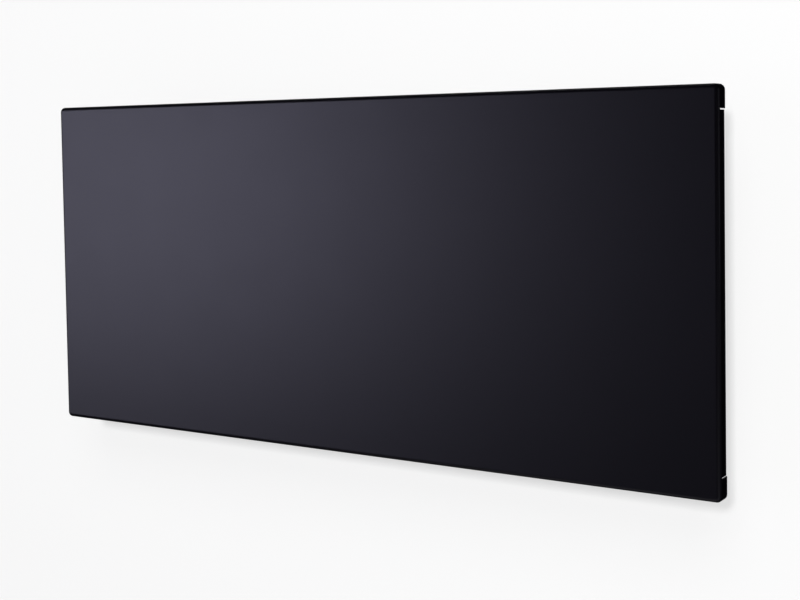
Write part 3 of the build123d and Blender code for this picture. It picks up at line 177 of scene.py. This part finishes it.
board_laminate = surface_finish("board_laminate", (0.03, 0.2, 0.08), (0.02, 0.15, 0.06),
                                7 * MM, (0.3, 0.45), 0.5 * MM, 0.02 * MM)
brass = surface_finish("brass", (0.78, 0.58, 0.26), (0.62, 0.45, 0.2),
                       3 * MM, (0.22, 0.36), 0.3 * MM, 0.008 * MM, metallic=1.0)
zinc_steel = surface_finish("zinc_steel", (0.66, 0.66, 0.62), (0.5, 0.5, 0.47),
                            3 * MM, (0.25, 0.4), 0.3 * MM, 0.008 * MM, metallic=1.0)
relay_case = surface_finish("relay_case", (0.04, 0.12, 0.36), (0.03, 0.1, 0.3),
                            9 * MM, (0.2, 0.32), 0.5 * MM, 0.006 * MM)
core_steel = surface_finish("core_steel", (0.3, 0.3, 0.32), (0.18, 0.18, 0.19),
                            4 * MM, (0.4, 0.55), 0.5 * MM, 0.03 * MM, metallic=1.0)
winding_tape = surface_finish("winding_tape", (0.8, 0.62, 0.12), (0.7, 0.52, 0.09),
                              6 * MM, (0.3, 0.45), 0.9 * MM, 0.03 * MM)
capacitor_sleeve = surface_finish("capacitor_sleeve", (0.035, 0.045, 0.09), (0.025, 0.032, 0.07),
                                  5 * MM, (0.18, 0.3), 0.6 * MM, 0.01 * MM)
black_plastic = surface_finish("black_plastic", (0.022, 0.022, 0.023), (0.017, 0.017, 0.018),
                               14 * MM, (0.42, 0.52), 0.45 * MM, 0.03 * MM)
white_nylon = surface_finish("white_nylon", (0.82, 0.81, 0.77), (0.76, 0.75, 0.7),
                             8 * MM, (0.38, 0.5), 0.5 * MM, 0.01 * MM)
dress(board_laminate, "control_board", "key_board")
dress(brass, "board_pillars", "earth_stud", "earth_lug_washer_nut")
dress(zinc_steel, "board_screws", "cover_screws", "terminal_screws")
dress(relay_case, "relay")
dress(core_steel, "transformer_core")
dress(winding_tape, "transformer_winding")
dress(capacitor_sleeve, "capacitors")
dress(fin_aluminium, "heat_sink")
dress(black_plastic, "power_chip", "key_switches")
dress(white_nylon, "board_connectors")


# Controls in the casing's top: a moulded housing, a digit display under a smoked window, and
# three push buttons with pale printed marks: a triangle down, a triangle up, and a ring with a bar.

print_sheet, mark_size, mark_line, ring_sides = 0.08 * MM, 1.9 * MM, 0.5 * MM, 40
mode_bar = 1.1 * mark_size
# Digits: places from the display's middle, and bars whose ends are cut nearly to a point.
digit_places, digit_width, digit_height = (("2", -5.5 * MM), ("1", 0.5 * MM)), 3.6 * MM, 6.6 * MM
digit_line, digit_gap = 0.9 * MM, 0.15 * MM
digit_point = digit_line / 2.05
degree_place, degree_radius, degree_sides = 6.2 * MM, 1.0 * MM, 32
lit_bars = {"2": "top right_high middle left_low low", "1": "right_high right_low"}
control_plastic = surface_finish("control_plastic", (0.026, 0.026, 0.027), (0.021, 0.021, 0.022),
                                 16 * MM, (0.44, 0.54), 0.4 * MM, 0.035 * MM)
button_plastic = surface_finish("button_plastic", (0.065, 0.065, 0.068), (0.055, 0.055, 0.058),
                                6 * MM, (0.38, 0.48), 0.35 * MM, 0.02 * MM)
display_face = surface_finish("display_face", (0.022, 0.022, 0.024), (0.015, 0.015, 0.017),
                              10 * MM, (0.2, 0.3), 0.5 * MM, 0.004 * MM)
window_clear = surface_finish("window_clear", (0.5, 0.5, 0.51), (0.45, 0.45, 0.46),
                              20 * MM, (0.03, 0.07), 2 * MM, 0.001 * MM,
                              extra={"Transmission Weight": 0.95, "IOR": 1.49})
pale_print = surface_finish("pale_print", (0.8, 0.8, 0.78), (0.74, 0.74, 0.72),
                            2 * MM, (0.5, 0.6), 0.2 * MM, 0.004 * MM)
lit_digits = surface_finish("lit_digits", (0.75, 0.9, 0.95), (0.7, 0.86, 0.92),
                            2 * MM, (0.4, 0.5), 0.4 * MM, 0.004 * MM,
                            extra={"Emission Color": (0.7, 0.92, 1.0, 1), "Emission Strength": 1.2})
dress(control_plastic, "control_housing")
dress(button_plastic, "button_down", "button_up", "button_mode")
dress(display_face, "display_module")
dress(window_clear, "display_window")


def piece_from(mesh, name, material, body):
    """Turns a bmesh into a piece of this scene, with its finish and its body."""
    data = bpy.data.meshes.new(name)
    mesh.to_mesh(data)
    mesh.free()
    data.materials.append(material)
    piece = bpy.data.objects.new(name, data)
    bpy.context.scene.collection.objects.link(piece)
    for face in data.polygons:
        face.use_smooth = True
    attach(piece, body)
    return piece


def raise_print(mesh, faces, way):
    """Gives a flat printed mark its thickness; the underside stays on what carries it."""
    grown = bmesh.ops.extrude_face_region(mesh, geom=faces, use_keep_orig=True)
    tops = [v for v in grown["geom"] if isinstance(v, bmesh.types.BMVert)]
    bmesh.ops.translate(mesh, verts=tops, vec=way * print_sheet)
    bmesh.ops.recalc_face_normals(mesh, faces=list(mesh.faces))


def add_disc(mesh, place, radius, corners, line=None):
    """A flat disc or polygon; with a line's width it is a ring of that line."""
    old = set(mesh.faces)
    bmesh.ops.create_circle(mesh, cap_ends=True, segments=corners, radius=radius, matrix=place)
    disc = [f for f in mesh.faces if f not in old]
    if line:
        bmesh.ops.inset_region(mesh, faces=disc, thickness=line, use_boundary=True,
                               use_even_offset=True)
        bmesh.ops.delete(mesh, geom=disc, context="FACES_ONLY")
        disc = [f for f in mesh.faces if f not in old]
    return disc


def add_bar(mesh, place, length, width, chamfer=0.0):
    """A flat bar along its own X axis, with its corners cut where a chamfer is given."""
    old = set(mesh.faces)
    size = Matrix.Diagonal((length, width, 1, 1))
    made = bmesh.ops.create_grid(mesh, x_segments=1, y_segments=1, size=0.5, matrix=place @ size)
    if chamfer:
        bmesh.ops.bevel(mesh, geom=made["verts"], offset=chamfer, offset_type="OFFSET", segments=1,
                        profile=0.5, affect="VERTICES", material=-1)
    return [f for f in mesh.faces if f not in old]


def top_of(node):
    """The middle of a node's highest level."""
    low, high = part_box(node)
    return Vector(((low.x + high.x) / 2, (low.y + high.y) / 2, high.z))


up = Vector((0, 0, 1))
for name, turn in (("down", 180), ("up", 0)):
    mark = bmesh.new()
    place = Matrix.Translation(top_of("button_" + name)) @ Matrix.Rotation(radians(turn), 4, "Z")
    raise_print(mark, add_disc(mark, place, mark_size, 3), up)
    piece_from(mark, "mark_" + name, pale_print, "button_" + name)
mark = bmesh.new()
place = Matrix.Translation(top_of("button_mode"))
faces = add_disc(mark, place, mark_size, ring_sides, mark_line)
upright = Matrix.Translation((0, mark_line, 0)) @ Matrix.Rotation(radians(90), 4, "Z")
faces += add_bar(mark, place @ upright, mode_bar, mark_line)
raise_print(mark, faces, up)
piece_from(mark, "mark_mode", pale_print, "button_mode")

digits = bmesh.new()
display = Matrix.Translation(top_of("display_module"))
half_x, half_y = digit_width / 2, digit_height / 2
bars = {"top": (0, half_y, 0), "middle": (0, 0, 0), "low": (0, -half_y, 0),
        "right_high": (half_x, half_y / 2, 90), "right_low": (half_x, -half_y / 2, 90),
        "left_high": (-half_x, half_y / 2, 90), "left_low": (-half_x, -half_y / 2, 90)}
faces = []
for digit, x in digit_places:
    for bar in lit_bars[digit].split():
        across, along, turn = bars[bar]
        length = (half_y if turn else digit_width) - digit_gap
        place = display @ Matrix.Translation((x + across, along, 0))
        faces += add_bar(digits, place @ Matrix.Rotation(radians(turn), 4, "Z"), length, digit_line,
                         digit_point)
place = display @ Matrix.Translation((degree_place, half_y - degree_radius / 2, 0))
faces += add_disc(digits, place, degree_radius, degree_sides, digit_line / 2)
raise_print(digits, faces, up)
piece_from(digits, "display_digits", lit_digits, "heater")


# End caps: moulded black plastic boxes that close the casing's two ends. Two zinc-plated screws
# with cross recesses hold each one at the top and two more at the bottom.

cap_screw_x, cap_screw_ys, cap_screw_z = 333 * MM, (-64 * MM, -34 * MM), 140 * MM
head_radius, head_height, head_crown = 2.9 * MM, 2.0 * MM, 0.7 * MM
crown_step = 0.3 * head_crown
shank_radius, shank_length, screw_sides = 1.5 * MM, 7 * MM, 32
recess_size, recess_depth, recess_taper = 3.1 * MM, 1.1 * MM, 0.45
# In degrees, by its row and its side: where each screw's recess stops.
row_turn, side_turn = 70, 35
cap_plastic = surface_finish("cap_plastic", (0.024, 0.024, 0.025), (0.018, 0.018, 0.019),
                             30 * MM, (0.46, 0.56), 0.5 * MM, 0.05 * MM)
dress(cap_plastic, "left_end_cap", "right_end_cap")


def add_cross_screw(mesh, place):
    """A pan-head screw: its seat is the place's origin and its head points along the place's Z."""
    screw = bmesh.new()
    top = Matrix.Translation((0, 0, head_height))
    bmesh.ops.create_grid(screw, x_segments=3, y_segments=3, size=recess_size / 2, matrix=top)
    half_slot = recess_size / 6
    away = [f for f in screw.faces if min(abs(c) for c in f.calc_center_median().xy) > half_slot]
    bmesh.ops.delete(screw, geom=away, context="FACES")
    cross = list(screw.faces)
    radius = head_radius - head_crown
    bmesh.ops.create_circle(screw, segments=screw_sides, radius=radius, matrix=top)
    edge_loops = [e for e in screw.edges if len(e.link_faces) < 2]
    outer = [e for e in edge_loops if not e.link_faces]
    bmesh.ops.bridge_loops(screw, edges=edge_loops)
    for wide, z in ((head_radius - crown_step, head_height - crown_step),
                    (head_radius, head_height - head_crown), (head_radius, 0),
                    (shank_radius, 0), (shank_radius, -shank_length)):
        grown = bmesh.ops.extrude_edge_only(screw, edges=outer)["geom"]
        outer = [e for e in grown if isinstance(e, bmesh.types.BMEdge)]
        for vert in (v for v in grown if isinstance(v, bmesh.types.BMVert)):
            vert.co = (vert.co.x * wide / radius, vert.co.y * wide / radius, z)
        radius = wide
    bmesh.ops.contextual_create(screw, geom=outer)
    sunk = bmesh.ops.extrude_face_region(screw, geom=cross)["geom"]
    for vert in (v for v in sunk if isinstance(v, bmesh.types.BMVert)):
        vert.co = (vert.co.x * recess_taper, vert.co.y * recess_taper, head_height - recess_depth)
    bmesh.ops.recalc_face_normals(screw, faces=list(screw.faces))
    bmesh.ops.transform(screw, matrix=place, verts=list(screw.verts))
    data = bpy.data.meshes.new("screw")
    screw.to_mesh(data)
    screw.free()
    mesh.from_mesh(data)
    bpy.data.meshes.remove(data)


def even_shading(piece):
    """Flat faces keep flat shading, and only the rounded parts between them blend."""
    piece.modifiers.new("even_shading", "WEIGHTED_NORMAL").keep_sharp = True


screws = bmesh.new()
for side_x in (-1, 1):
    for y in cap_screw_ys:
        for side_z in (-1, 1):
            place = Matrix.Translation((side_x * cap_screw_x, y, side_z * cap_screw_z))
            flip = Matrix.Rotation(radians(0 if side_z > 0 else 180), 4, "X")
            stop = row_turn * y / cap_screw_ys[0] + side_turn * side_x
            twist = Matrix.Rotation(radians(stop), 4, "Z")
            add_cross_screw(screws, place @ flip @ twist)
cross_screws = piece_from(screws, "end_cap_cross_screws", zinc_steel, "heater")
even_shading(cross_screws)
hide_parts("end_cap_screws")


# Rocker switch in the right end cap: a glossy rocker in a plain black body, shown switched off,
# with a pale ring and a pale bar printed on its two slopes.

# In degrees: the rocker's tilt at rest, and the slope of each of its halves.
switch_turn, switch_slope = 8, 10.9
switch_rise, switch_mark_y = 3.4 * MM, 4.3 * MM
switch_pivot = next(j["pos_m"] for j in frame["joints"] if j["name"] == "rocker_tilt")
rocker_plastic = surface_finish("rocker_plastic", (0.016, 0.016, 0.017), (0.013, 0.013, 0.014),
                                8 * MM, (0.12, 0.2), 0.6 * MM, 0.004 * MM)
flag_sleeve = surface_finish("flag_sleeve", (0.48, 0.06, 0.05), (0.4, 0.05, 0.04),
                             5 * MM, (0.35, 0.5), 0.5 * MM, 0.02 * MM)
dress(rocker_plastic, "rocker")
dress(black_plastic, "rocker_housing")
dress(flag_sleeve, "flag_terminals")
for name, side in (("ring", 1), ("bar", -1)):
    mark = bmesh.new()
    slope = (Matrix.Translation(switch_pivot) @ Matrix.Rotation(radians(switch_turn), 4, "Z")
             @ Matrix.Translation((switch_rise, side * switch_mark_y, 0))
             @ Matrix.Rotation(radians(-side * switch_slope), 4, "Z"))
    face_out = slope @ Matrix.Rotation(radians(90), 4, "Y")
    if name == "ring":
        faces = add_disc(mark, face_out, mark_size, ring_sides, mark_line)
    else:
        faces = add_bar(mark, face_out, 2 * mark_size, mark_line)
    raise_print(mark, faces, (face_out.to_3x3() @ up).normalized())
    piece_from(mark, "rocker_" + name, pale_print, "rocker")


# Mains side: a moulded cable gland in the casing's floor, whose domed cap has grip ribs, a terminal
# block, an earth stud and the room sensor.

inlet = next(m["pos_m"] for m in frame["record"]["mounts"] if m["name"] == "cable_inlet")
gland_ribs, rib_depth, rib_margin, grip_radius = 24, 0.5 * MM, 0.25 * MM, 9.5 * MM
gland_cap_outline = [(4.5, -157), (8, -157), (9.4, -156.4), (10, -155), (10, -146.1), (7.1, -146.1),
                     (7.1, -155.1), (4.5, -155.1)]
weld = 0.001 * MM
dress(black_plastic, "cable_gland_body", "cable_gland_nut", "room_sensor")
dress(white_nylon, "terminal_block")


def break_edges(piece, width, angle):
    """Rounds a piece's sharp edges by a little, as a mould or a press does."""
    edge_break = piece.modifiers.new("edge_break", "BEVEL")
    edge_break.width = width
    edge_break.segments = 2
    edge_break.limit_method = "ANGLE"
    edge_break.angle_limit = radians(angle)
    even_shading(piece)


cap = bmesh.new()
gland_axis = Vector(inlet[:2])
corners = [cap.verts.new((gland_axis.x + r * MM, gland_axis.y, z * MM)) for r, z in gland_cap_outline]
rims = [cap.edges.new((corners[i - 1], corners[i])) for i in range(len(corners))]
bmesh.ops.spin(cap, geom=corners + rims, cent=(*gland_axis, 0), axis=up, dvec=(0, 0, 0),
               angle=radians(360), steps=2 * gland_ribs, use_merge=True, use_duplicate=False)
bmesh.ops.remove_doubles(cap, verts=list(cap.verts), dist=weld)
bmesh.ops.recalc_face_normals(cap, faces=list(cap.faces))


def from_gland_axis(face):
    """Where a face of the cap lies, seen along the gland."""
    return face.calc_center_median().xy - gland_axis


sides = [f for f in cap.faces if abs(f.normal.z) < 0.1 and from_gland_axis(f).length > grip_radius]
sides.sort(key=lambda f: from_gland_axis(f).angle_signed(Vector((1, 0))))
bmesh.ops.inset_individual(cap, faces=sides[::2], thickness=rib_margin, depth=-rib_depth,
                           use_even_offset=True)
gland_ribbed_cap = piece_from(cap, "gland_ribbed_cap", black_plastic, "heater")
break_edges(gland_ribbed_cap, 0.12 * MM, 30)
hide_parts("cable_gland_cap")


# Inner wires: plain insulation, brown for live, blue for neutral, striped green and yellow for
# earth, and red silicone near the heat. A grey ribbon goes up to the display.

# Half a wave of the band texture is 0.314 of its own units, and makes one stripe.
neutral_top, stripe, half_wave = -40 * MM, 3.2 * MM, 0.314
lead_insulation = surface_finish("lead_insulation", (0.5, 0.07, 0.045), (0.42, 0.055, 0.035),
                                 6 * MM, (0.4, 0.55), 0.4 * MM, 0.01 * MM)
brown_insulation = surface_finish("brown_insulation", (0.16, 0.075, 0.035), (0.12, 0.055, 0.026),
                                  6 * MM, (0.35, 0.5), 0.4 * MM, 0.01 * MM)
blue_insulation = surface_finish("blue_insulation", (0.03, 0.13, 0.42), (0.022, 0.1, 0.34),
                                 6 * MM, (0.35, 0.5), 0.4 * MM, 0.01 * MM)
earth_insulation = surface_finish("earth_insulation", (0.78, 0.62, 0.04), (0.04, 0.3, 0.06),
                                  6 * MM, (0.35, 0.5), 0.4 * MM, 0.01 * MM)
sensor_insulation = surface_finish("sensor_insulation", (0.05, 0.05, 0.05), (0.035, 0.035, 0.035),
                                   6 * MM, (0.4, 0.55), 0.4 * MM, 0.01 * MM)
ribbon_grey = surface_finish("ribbon_grey", (0.5, 0.5, 0.52), (0.42, 0.42, 0.44),
                             4 * MM, (0.4, 0.5), 0.6 * MM, 0.03 * MM)
tree = earth_insulation.node_tree
stripes = tree.nodes.new("ShaderNodeTexWave")
stripes.bands_direction = "DIAGONAL"
stripes.inputs["Scale"].default_value = half_wave / stripe
place = next(n for n in tree.nodes if n.type == "TEX_COORD")
ramp = next(n for n in tree.nodes if n.type == "VALTORGB")
ramp.color_ramp.interpolation = "CONSTANT"
tree.links.new(place.outputs["Object"], stripes.inputs["Vector"])
tree.links.new(stripes.outputs["Color"], ramp.inputs["Fac"])
dress(lead_insulation, "element_leads", "cutout_leads")
dress(earth_insulation, "earth_wire")
dress(sensor_insulation, "sensor_lead")
dress(ribbon_grey, "display_ribbon")


def wires_of(node, wanted):
    """A merged copy of those separate wires in a node whose highest point passes the test."""
    wires = bmesh.new()
    wires.from_mesh(nodes[node].data)
    bmesh.ops.remove_doubles(wires, verts=list(wires.verts), dist=weld)
    left, away = set(wires.verts), []
    while left:
        wire, front = set(), [left.pop()]
        while front:
            vert = front.pop()
            wire.add(vert)
            near = {edge.other_vert(vert) for edge in vert.link_edges} & left
            left -= near
            front.extend(near)
        if not wanted(max(vert.co.z for vert in wire)):
            away.extend(wire)
    bmesh.ops.delete(wires, geom=away, context="VERTS")
    return wires


live_wires = piece_from(wires_of("mains_wires", lambda top: top > neutral_top), "live_wires",
                        brown_insulation, "heater")
piece_from(wires_of("mains_wires", lambda top: top < neutral_top), "neutral_wire",
           blue_insulation, "heater")
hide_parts("mains_wires")


# Front cover: one pressed steel pan with its edges turned back, relief notches near the corners,
# and a satin black powder coat. Two welded rails behind it take the screws.

cover_low, cover_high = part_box("front_cover")
cover_width, corner_flange, cover_height = cover_high - cover_low
front_y, side_flange, cover_sheet = cover_low.y, 12 * MM, 1 * MM
corner_radius, bend_radius, bend_segments = 5 * MM, 4 * MM, 8
notch_z, notch_width, notch_front = 145 * MM, 1.0 * MM, 3 * MM


def all_of(mesh):
    """Everything in a mesh, as the cut along a plane wants it."""
    return [*mesh.verts, *mesh.edges, *mesh.faces]


def cover_pan():
    """The pan's outer skin with its notches, before it gets its thickness."""
    pan = bmesh.new()
    size = Vector((cover_width, corner_flange, cover_height))
    middle = Matrix.Translation((0, front_y + corner_flange / 2, 0))
    bmesh.ops.create_cube(pan, size=1, matrix=middle @ Matrix.Diagonal((*size, 1)))
    back = [f for f in pan.faces if f.normal.y > 0.9]
    bmesh.ops.delete(pan, geom=back, context="FACES_ONLY")
    corners = [e for e in pan.edges if abs(e.verts[0].co.y - e.verts[1].co.y) > corner_flange / 2]
    bmesh.ops.bevel(pan, geom=corners, offset=corner_radius, offset_type="OFFSET",
                    segments=bend_segments, profile=0.5, affect="EDGES", material=-1)
    front = min(pan.faces, key=lambda f: f.calc_center_median().y)
    bmesh.ops.bevel(pan, geom=list(front.edges), offset=bend_radius, offset_type="OFFSET",
                    segments=bend_segments, profile=0.5, affect="EDGES", material=-1)
    flange_x = cover_width / 2 - bend_radius
    cuts = [((0, 0, side * (notch_z + half)), (0, 0, 1)) for side in (-1, 1)
            for half in (-notch_width / 2, notch_width / 2)]
    cuts += [((0, front_y + depth, 0), (0, 1, 0)) for depth in (notch_front, side_flange)]
    cuts += [((side * flange_x, 0, 0), (1, 0, 0)) for side in (-1, 1)]
    for point, normal in cuts:
        bmesh.ops.bisect_plane(pan, geom=all_of(pan), plane_co=point, plane_no=normal, dist=weld)
    away = []
    for face in pan.faces:
        spot = face.calc_center_median()
        if abs(spot.x) < flange_x:
            continue
        in_notch = abs(abs(spot.z) - notch_z) < notch_width / 2 and spot.y > front_y + notch_front
        past_flange = abs(spot.z) < notch_z and spot.y > front_y + side_flange
        if in_notch or past_flange:
            away.append(face)
    bmesh.ops.delete(pan, geom=away, context="FACES")
    return pan


cover_paint = surface_finish("cover_paint", (0.0011, 0.0007, 0.0018), (0.0008, 0.0005, 0.0015),
                             90 * MM, (0.410, 0.420), 1.6 * MM, 0.006 * MM,
                             extra={"Specular Tint": (0.86, 0.845, 1, 1)})
pan = cover_pan()
bmesh.ops.recalc_face_normals(pan, faces=list(pan.faces))
bmesh.ops.solidify(pan, geom=list(pan.faces), thickness=cover_sheet)
front_panel = piece_from(pan, "front_panel", cover_paint, "heater")
break_edges(front_panel, 0.2 * MM, 50)
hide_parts("front_cover")
dress(casing_paint, "front_cover_rails")
dress(ceramic, "cover_insulators")


# Wall bracket: two galvanised uprights with hooks, a cross rail riveted between them,
# and two leaf springs.

dress(galvanised_steel, "bracket_upright_left", "bracket_upright_right", "bracket_cross_rail")
dress(rivet_steel, "bracket_rivets")
dress(spring_steel, "bracket_spring_clips")


# Camera: where the photograph's edges put it, a little right of the heater and near its height.
# The frame is wider than high and cut from a larger picture, so the view is shifted.

camera_place = Vector((0.7324, -1.1111, 0.1236))
camera_right = Vector((0.83962, 0.54294, -0.016)).normalized()
camera_back = Vector((0.54308, -0.83852, 0.04421)).normalized()
camera_up = camera_back.cross(camera_right)
turn = Matrix((camera_right, camera_up, camera_back)).transposed().to_4x4()
camera = bpy.data.objects.new("camera", bpy.data.cameras.new("camera"))
camera.data.sensor_width = 36
camera.data.lens = 61.64
camera.data.shift_x = -0.0006
camera.data.shift_y = -0.1224
camera.matrix_world = Matrix.Translation(camera_place) @ turn
bpy.context.scene.collection.objects.link(camera)
bpy.context.scene.camera = camera
bpy.context.scene.view_settings.view_transform = "Standard"


# Lamps: one soft box far to the left, whose sheen fades over the satin front, and soft fill.
# Each has its azimuth and elevation in degrees, distance and width in metres, power in watts, colour.

white = (1, 1, 1)


def soft_box(name, azimuth, elevation, distance, width, power, colour, shines=True):
    """A square lamp that faces the heater."""
    lamp = bpy.data.lights.new(name, "AREA")
    lamp.shape = "SQUARE"
    lamp.size = width
    lamp.energy = power
    lamp.color = colour
    box = bpy.data.objects.new(name, lamp)
    way = Matrix.Rotation(radians(azimuth), 3, "Z") @ Matrix.Rotation(radians(-elevation), 3, "X")
    box.location = way @ Vector((0, -distance, 0))
    box.rotation_euler = (-box.location).to_track_quat("-Z", "Y").to_euler()
    box.visible_glossy = shines
    box.visible_camera = False
    bpy.context.scene.collection.objects.link(box)
    return box


soft_box("key_lamp", -44, 1.7, 2.8, 1.1, 19.3, (0.87, 0.86, 1.0))
soft_box("side_lamp", 87, 3, 2.8, 0.6, 1.3, white)
soft_box("low_side_lamp", 45, -32, 3.0, 1.8, 6, white)
soft_box("low_lamp", -15, -60, 2.5, 1.6, 4.5, white)
soft_box("fill_lamp", 25, 38, 3.0, 1.5, 50, white, shines=False)
soft_box("back_lamp", -140, 45, 3.0, 1.5, 40, white)


# World: pale for the eye, for gloss and for glass, and lower as light on the object.

light_level, seen_level = 0.42, 0.92
world = bpy.data.worlds.new("studio")
bpy.context.scene.world = world
world.use_nodes = True
tree = world.node_tree
sky = tree.nodes["Background"]
path = tree.nodes.new("ShaderNodeLightPath")
seen = path.outputs["Is Camera Ray"]
for ray in ("Is Glossy Ray", "Is Transmission Ray"):
    either = tree.nodes.new("ShaderNodeMath")
    either.operation = "MAXIMUM"
    tree.links.new(seen, either.inputs[0])
    tree.links.new(path.outputs[ray], either.inputs[1])
    seen = either.outputs[0]
level = tree.nodes.new("ShaderNodeMapRange")
level.inputs["To Min"].default_value = light_level
level.inputs["To Max"].default_value = seen_level
tree.links.new(seen, level.inputs["Value"])
tree.links.new(level.outputs[0], sky.inputs["Strength"])
sky.inputs["Color"].default_value = (*white, 1)


# Wall and floor: pale and plain. The wall is seen only from the front and the floor only from
# above, so they hide nothing and hold back no light.

wall_level, wall_glow, lit_share = 0.92, 0.73, 0.1
stage_width, wall_gap, floor_z = 12, 0.5 * MM, -0.9
pale_paint = bpy.data.materials.new("pale_paint")
pale_paint.use_nodes = True
tree = pale_paint.node_tree
tree.nodes.remove(tree.nodes["Principled BSDF"])
matt = tree.nodes.new("ShaderNodeBsdfDiffuse")
matt.inputs["Color"].default_value = (wall_level, wall_level, wall_level, 1)
glow = tree.nodes.new("ShaderNodeEmission")
glow.inputs["Color"].default_value = (wall_glow, wall_glow, wall_glow, 1)
both = tree.nodes.new("ShaderNodeMixShader")
both.inputs[0].default_value = lit_share
tree.links.new(glow.outputs[0], both.inputs[1])
tree.links.new(matt.outputs[0], both.inputs[2])
clear = tree.nodes.new("ShaderNodeBsdfTransparent")
path = tree.nodes.new("ShaderNodeLightPath")
side = tree.nodes.new("ShaderNodeNewGeometry")
front_side = tree.nodes.new("ShaderNodeMath")
front_side.operation = "SUBTRACT"
front_side.use_clamp = True
tree.links.new(path.outputs["Is Camera Ray"], front_side.inputs[0])
tree.links.new(side.outputs["Backfacing"], front_side.inputs[1])
shown = tree.nodes.new("ShaderNodeMixShader")
tree.links.new(front_side.outputs[0], shown.inputs[0])
tree.links.new(clear.outputs[0], shown.inputs[1])
tree.links.new(both.outputs[0], shown.inputs[2])
tree.links.new(shown.outputs[0], tree.nodes["Material Output"].inputs["Surface"])


def board_at(place, width):
    """A flat square board; place turns and moves it."""
    board = bmesh.new()
    bmesh.ops.create_grid(board, x_segments=1, y_segments=1, size=width / 2, matrix=place)
    return board


def stage_piece(name, mesh, material):
    """Turns a bmesh into a thing of the stage, which isn't part of the heater."""
    data = bpy.data.meshes.new(name)
    mesh.to_mesh(data)
    mesh.free()
    data.materials.append(material)
    made = bpy.data.objects.new(name, data)
    bpy.context.scene.collection.objects.link(made)
    return made


stand_up = Matrix.Rotation(radians(90), 4, "X")
wall_place = Matrix.Translation((0, wall_gap, 0)) @ stand_up
wall = stage_piece("wall", board_at(wall_place, stage_width), pale_paint)
stage_piece("floor", board_at(Matrix.Translation((0, 0, floor_z)), stage_width), pale_paint)
wall_lamp = soft_box("wall_lamp", 18.7, 16.9, 6.0, 0.5, 850, white, shines=False)
wall_alone = bpy.data.collections.new("wall_alone")
wall_alone.objects.link(wall)
wall_lamp.light_linking.receiver_collection = wall_alone


# Black cards: keep the pale studio out of the satin paint's sheen, as a photographer's flags do.
# One is a half dome in front, the other a frame just behind the wall's face, open in the middle.

dome_radius, dome_back = 5, 0.5
card_width, card_y, card_window = 3, 20 * MM, (0.345, 0.155)
card_black = surface_finish("card_black", (0.004, 0.004, 0.005), (0.003, 0.003, 0.004),
                            200 * MM, (0.9, 0.95), 3 * MM, 0.01 * MM,
                            extra={"Specular IOR Level": 0.0})


def black_card(name, mesh):
    """A card of the stage that only gloss can see."""
    card = stage_piece(name, mesh, card_black)
    card.visible_camera = False
    card.visible_diffuse = False
    card.visible_transmission = False
    card.visible_shadow = False


dome = bmesh.new()
bmesh.ops.create_uvsphere(dome, u_segments=48, v_segments=24, radius=dome_radius)
bmesh.ops.bisect_plane(dome, geom=all_of(dome), plane_co=(0, dome_back, 0), plane_no=(0, 1, 0),
                       clear_outer=True)
black_card("dome", dome)

rim = board_at(Matrix.Translation((0, card_y, 0)) @ stand_up, card_width)
window_x, window_z = card_window
for point, normal in (((window_x, 0, 0), (1, 0, 0)), ((-window_x, 0, 0), (1, 0, 0)),
                      ((0, 0, window_z), (0, 0, 1)), ((0, 0, -window_z), (0, 0, 1))):
    bmesh.ops.bisect_plane(rim, geom=all_of(rim), plane_co=point, plane_no=normal)
middle = min(rim.faces, key=lambda f: f.calc_center_median().length)
bmesh.ops.delete(rim, geom=[middle], context="FACES")
black_card("rim", rim)
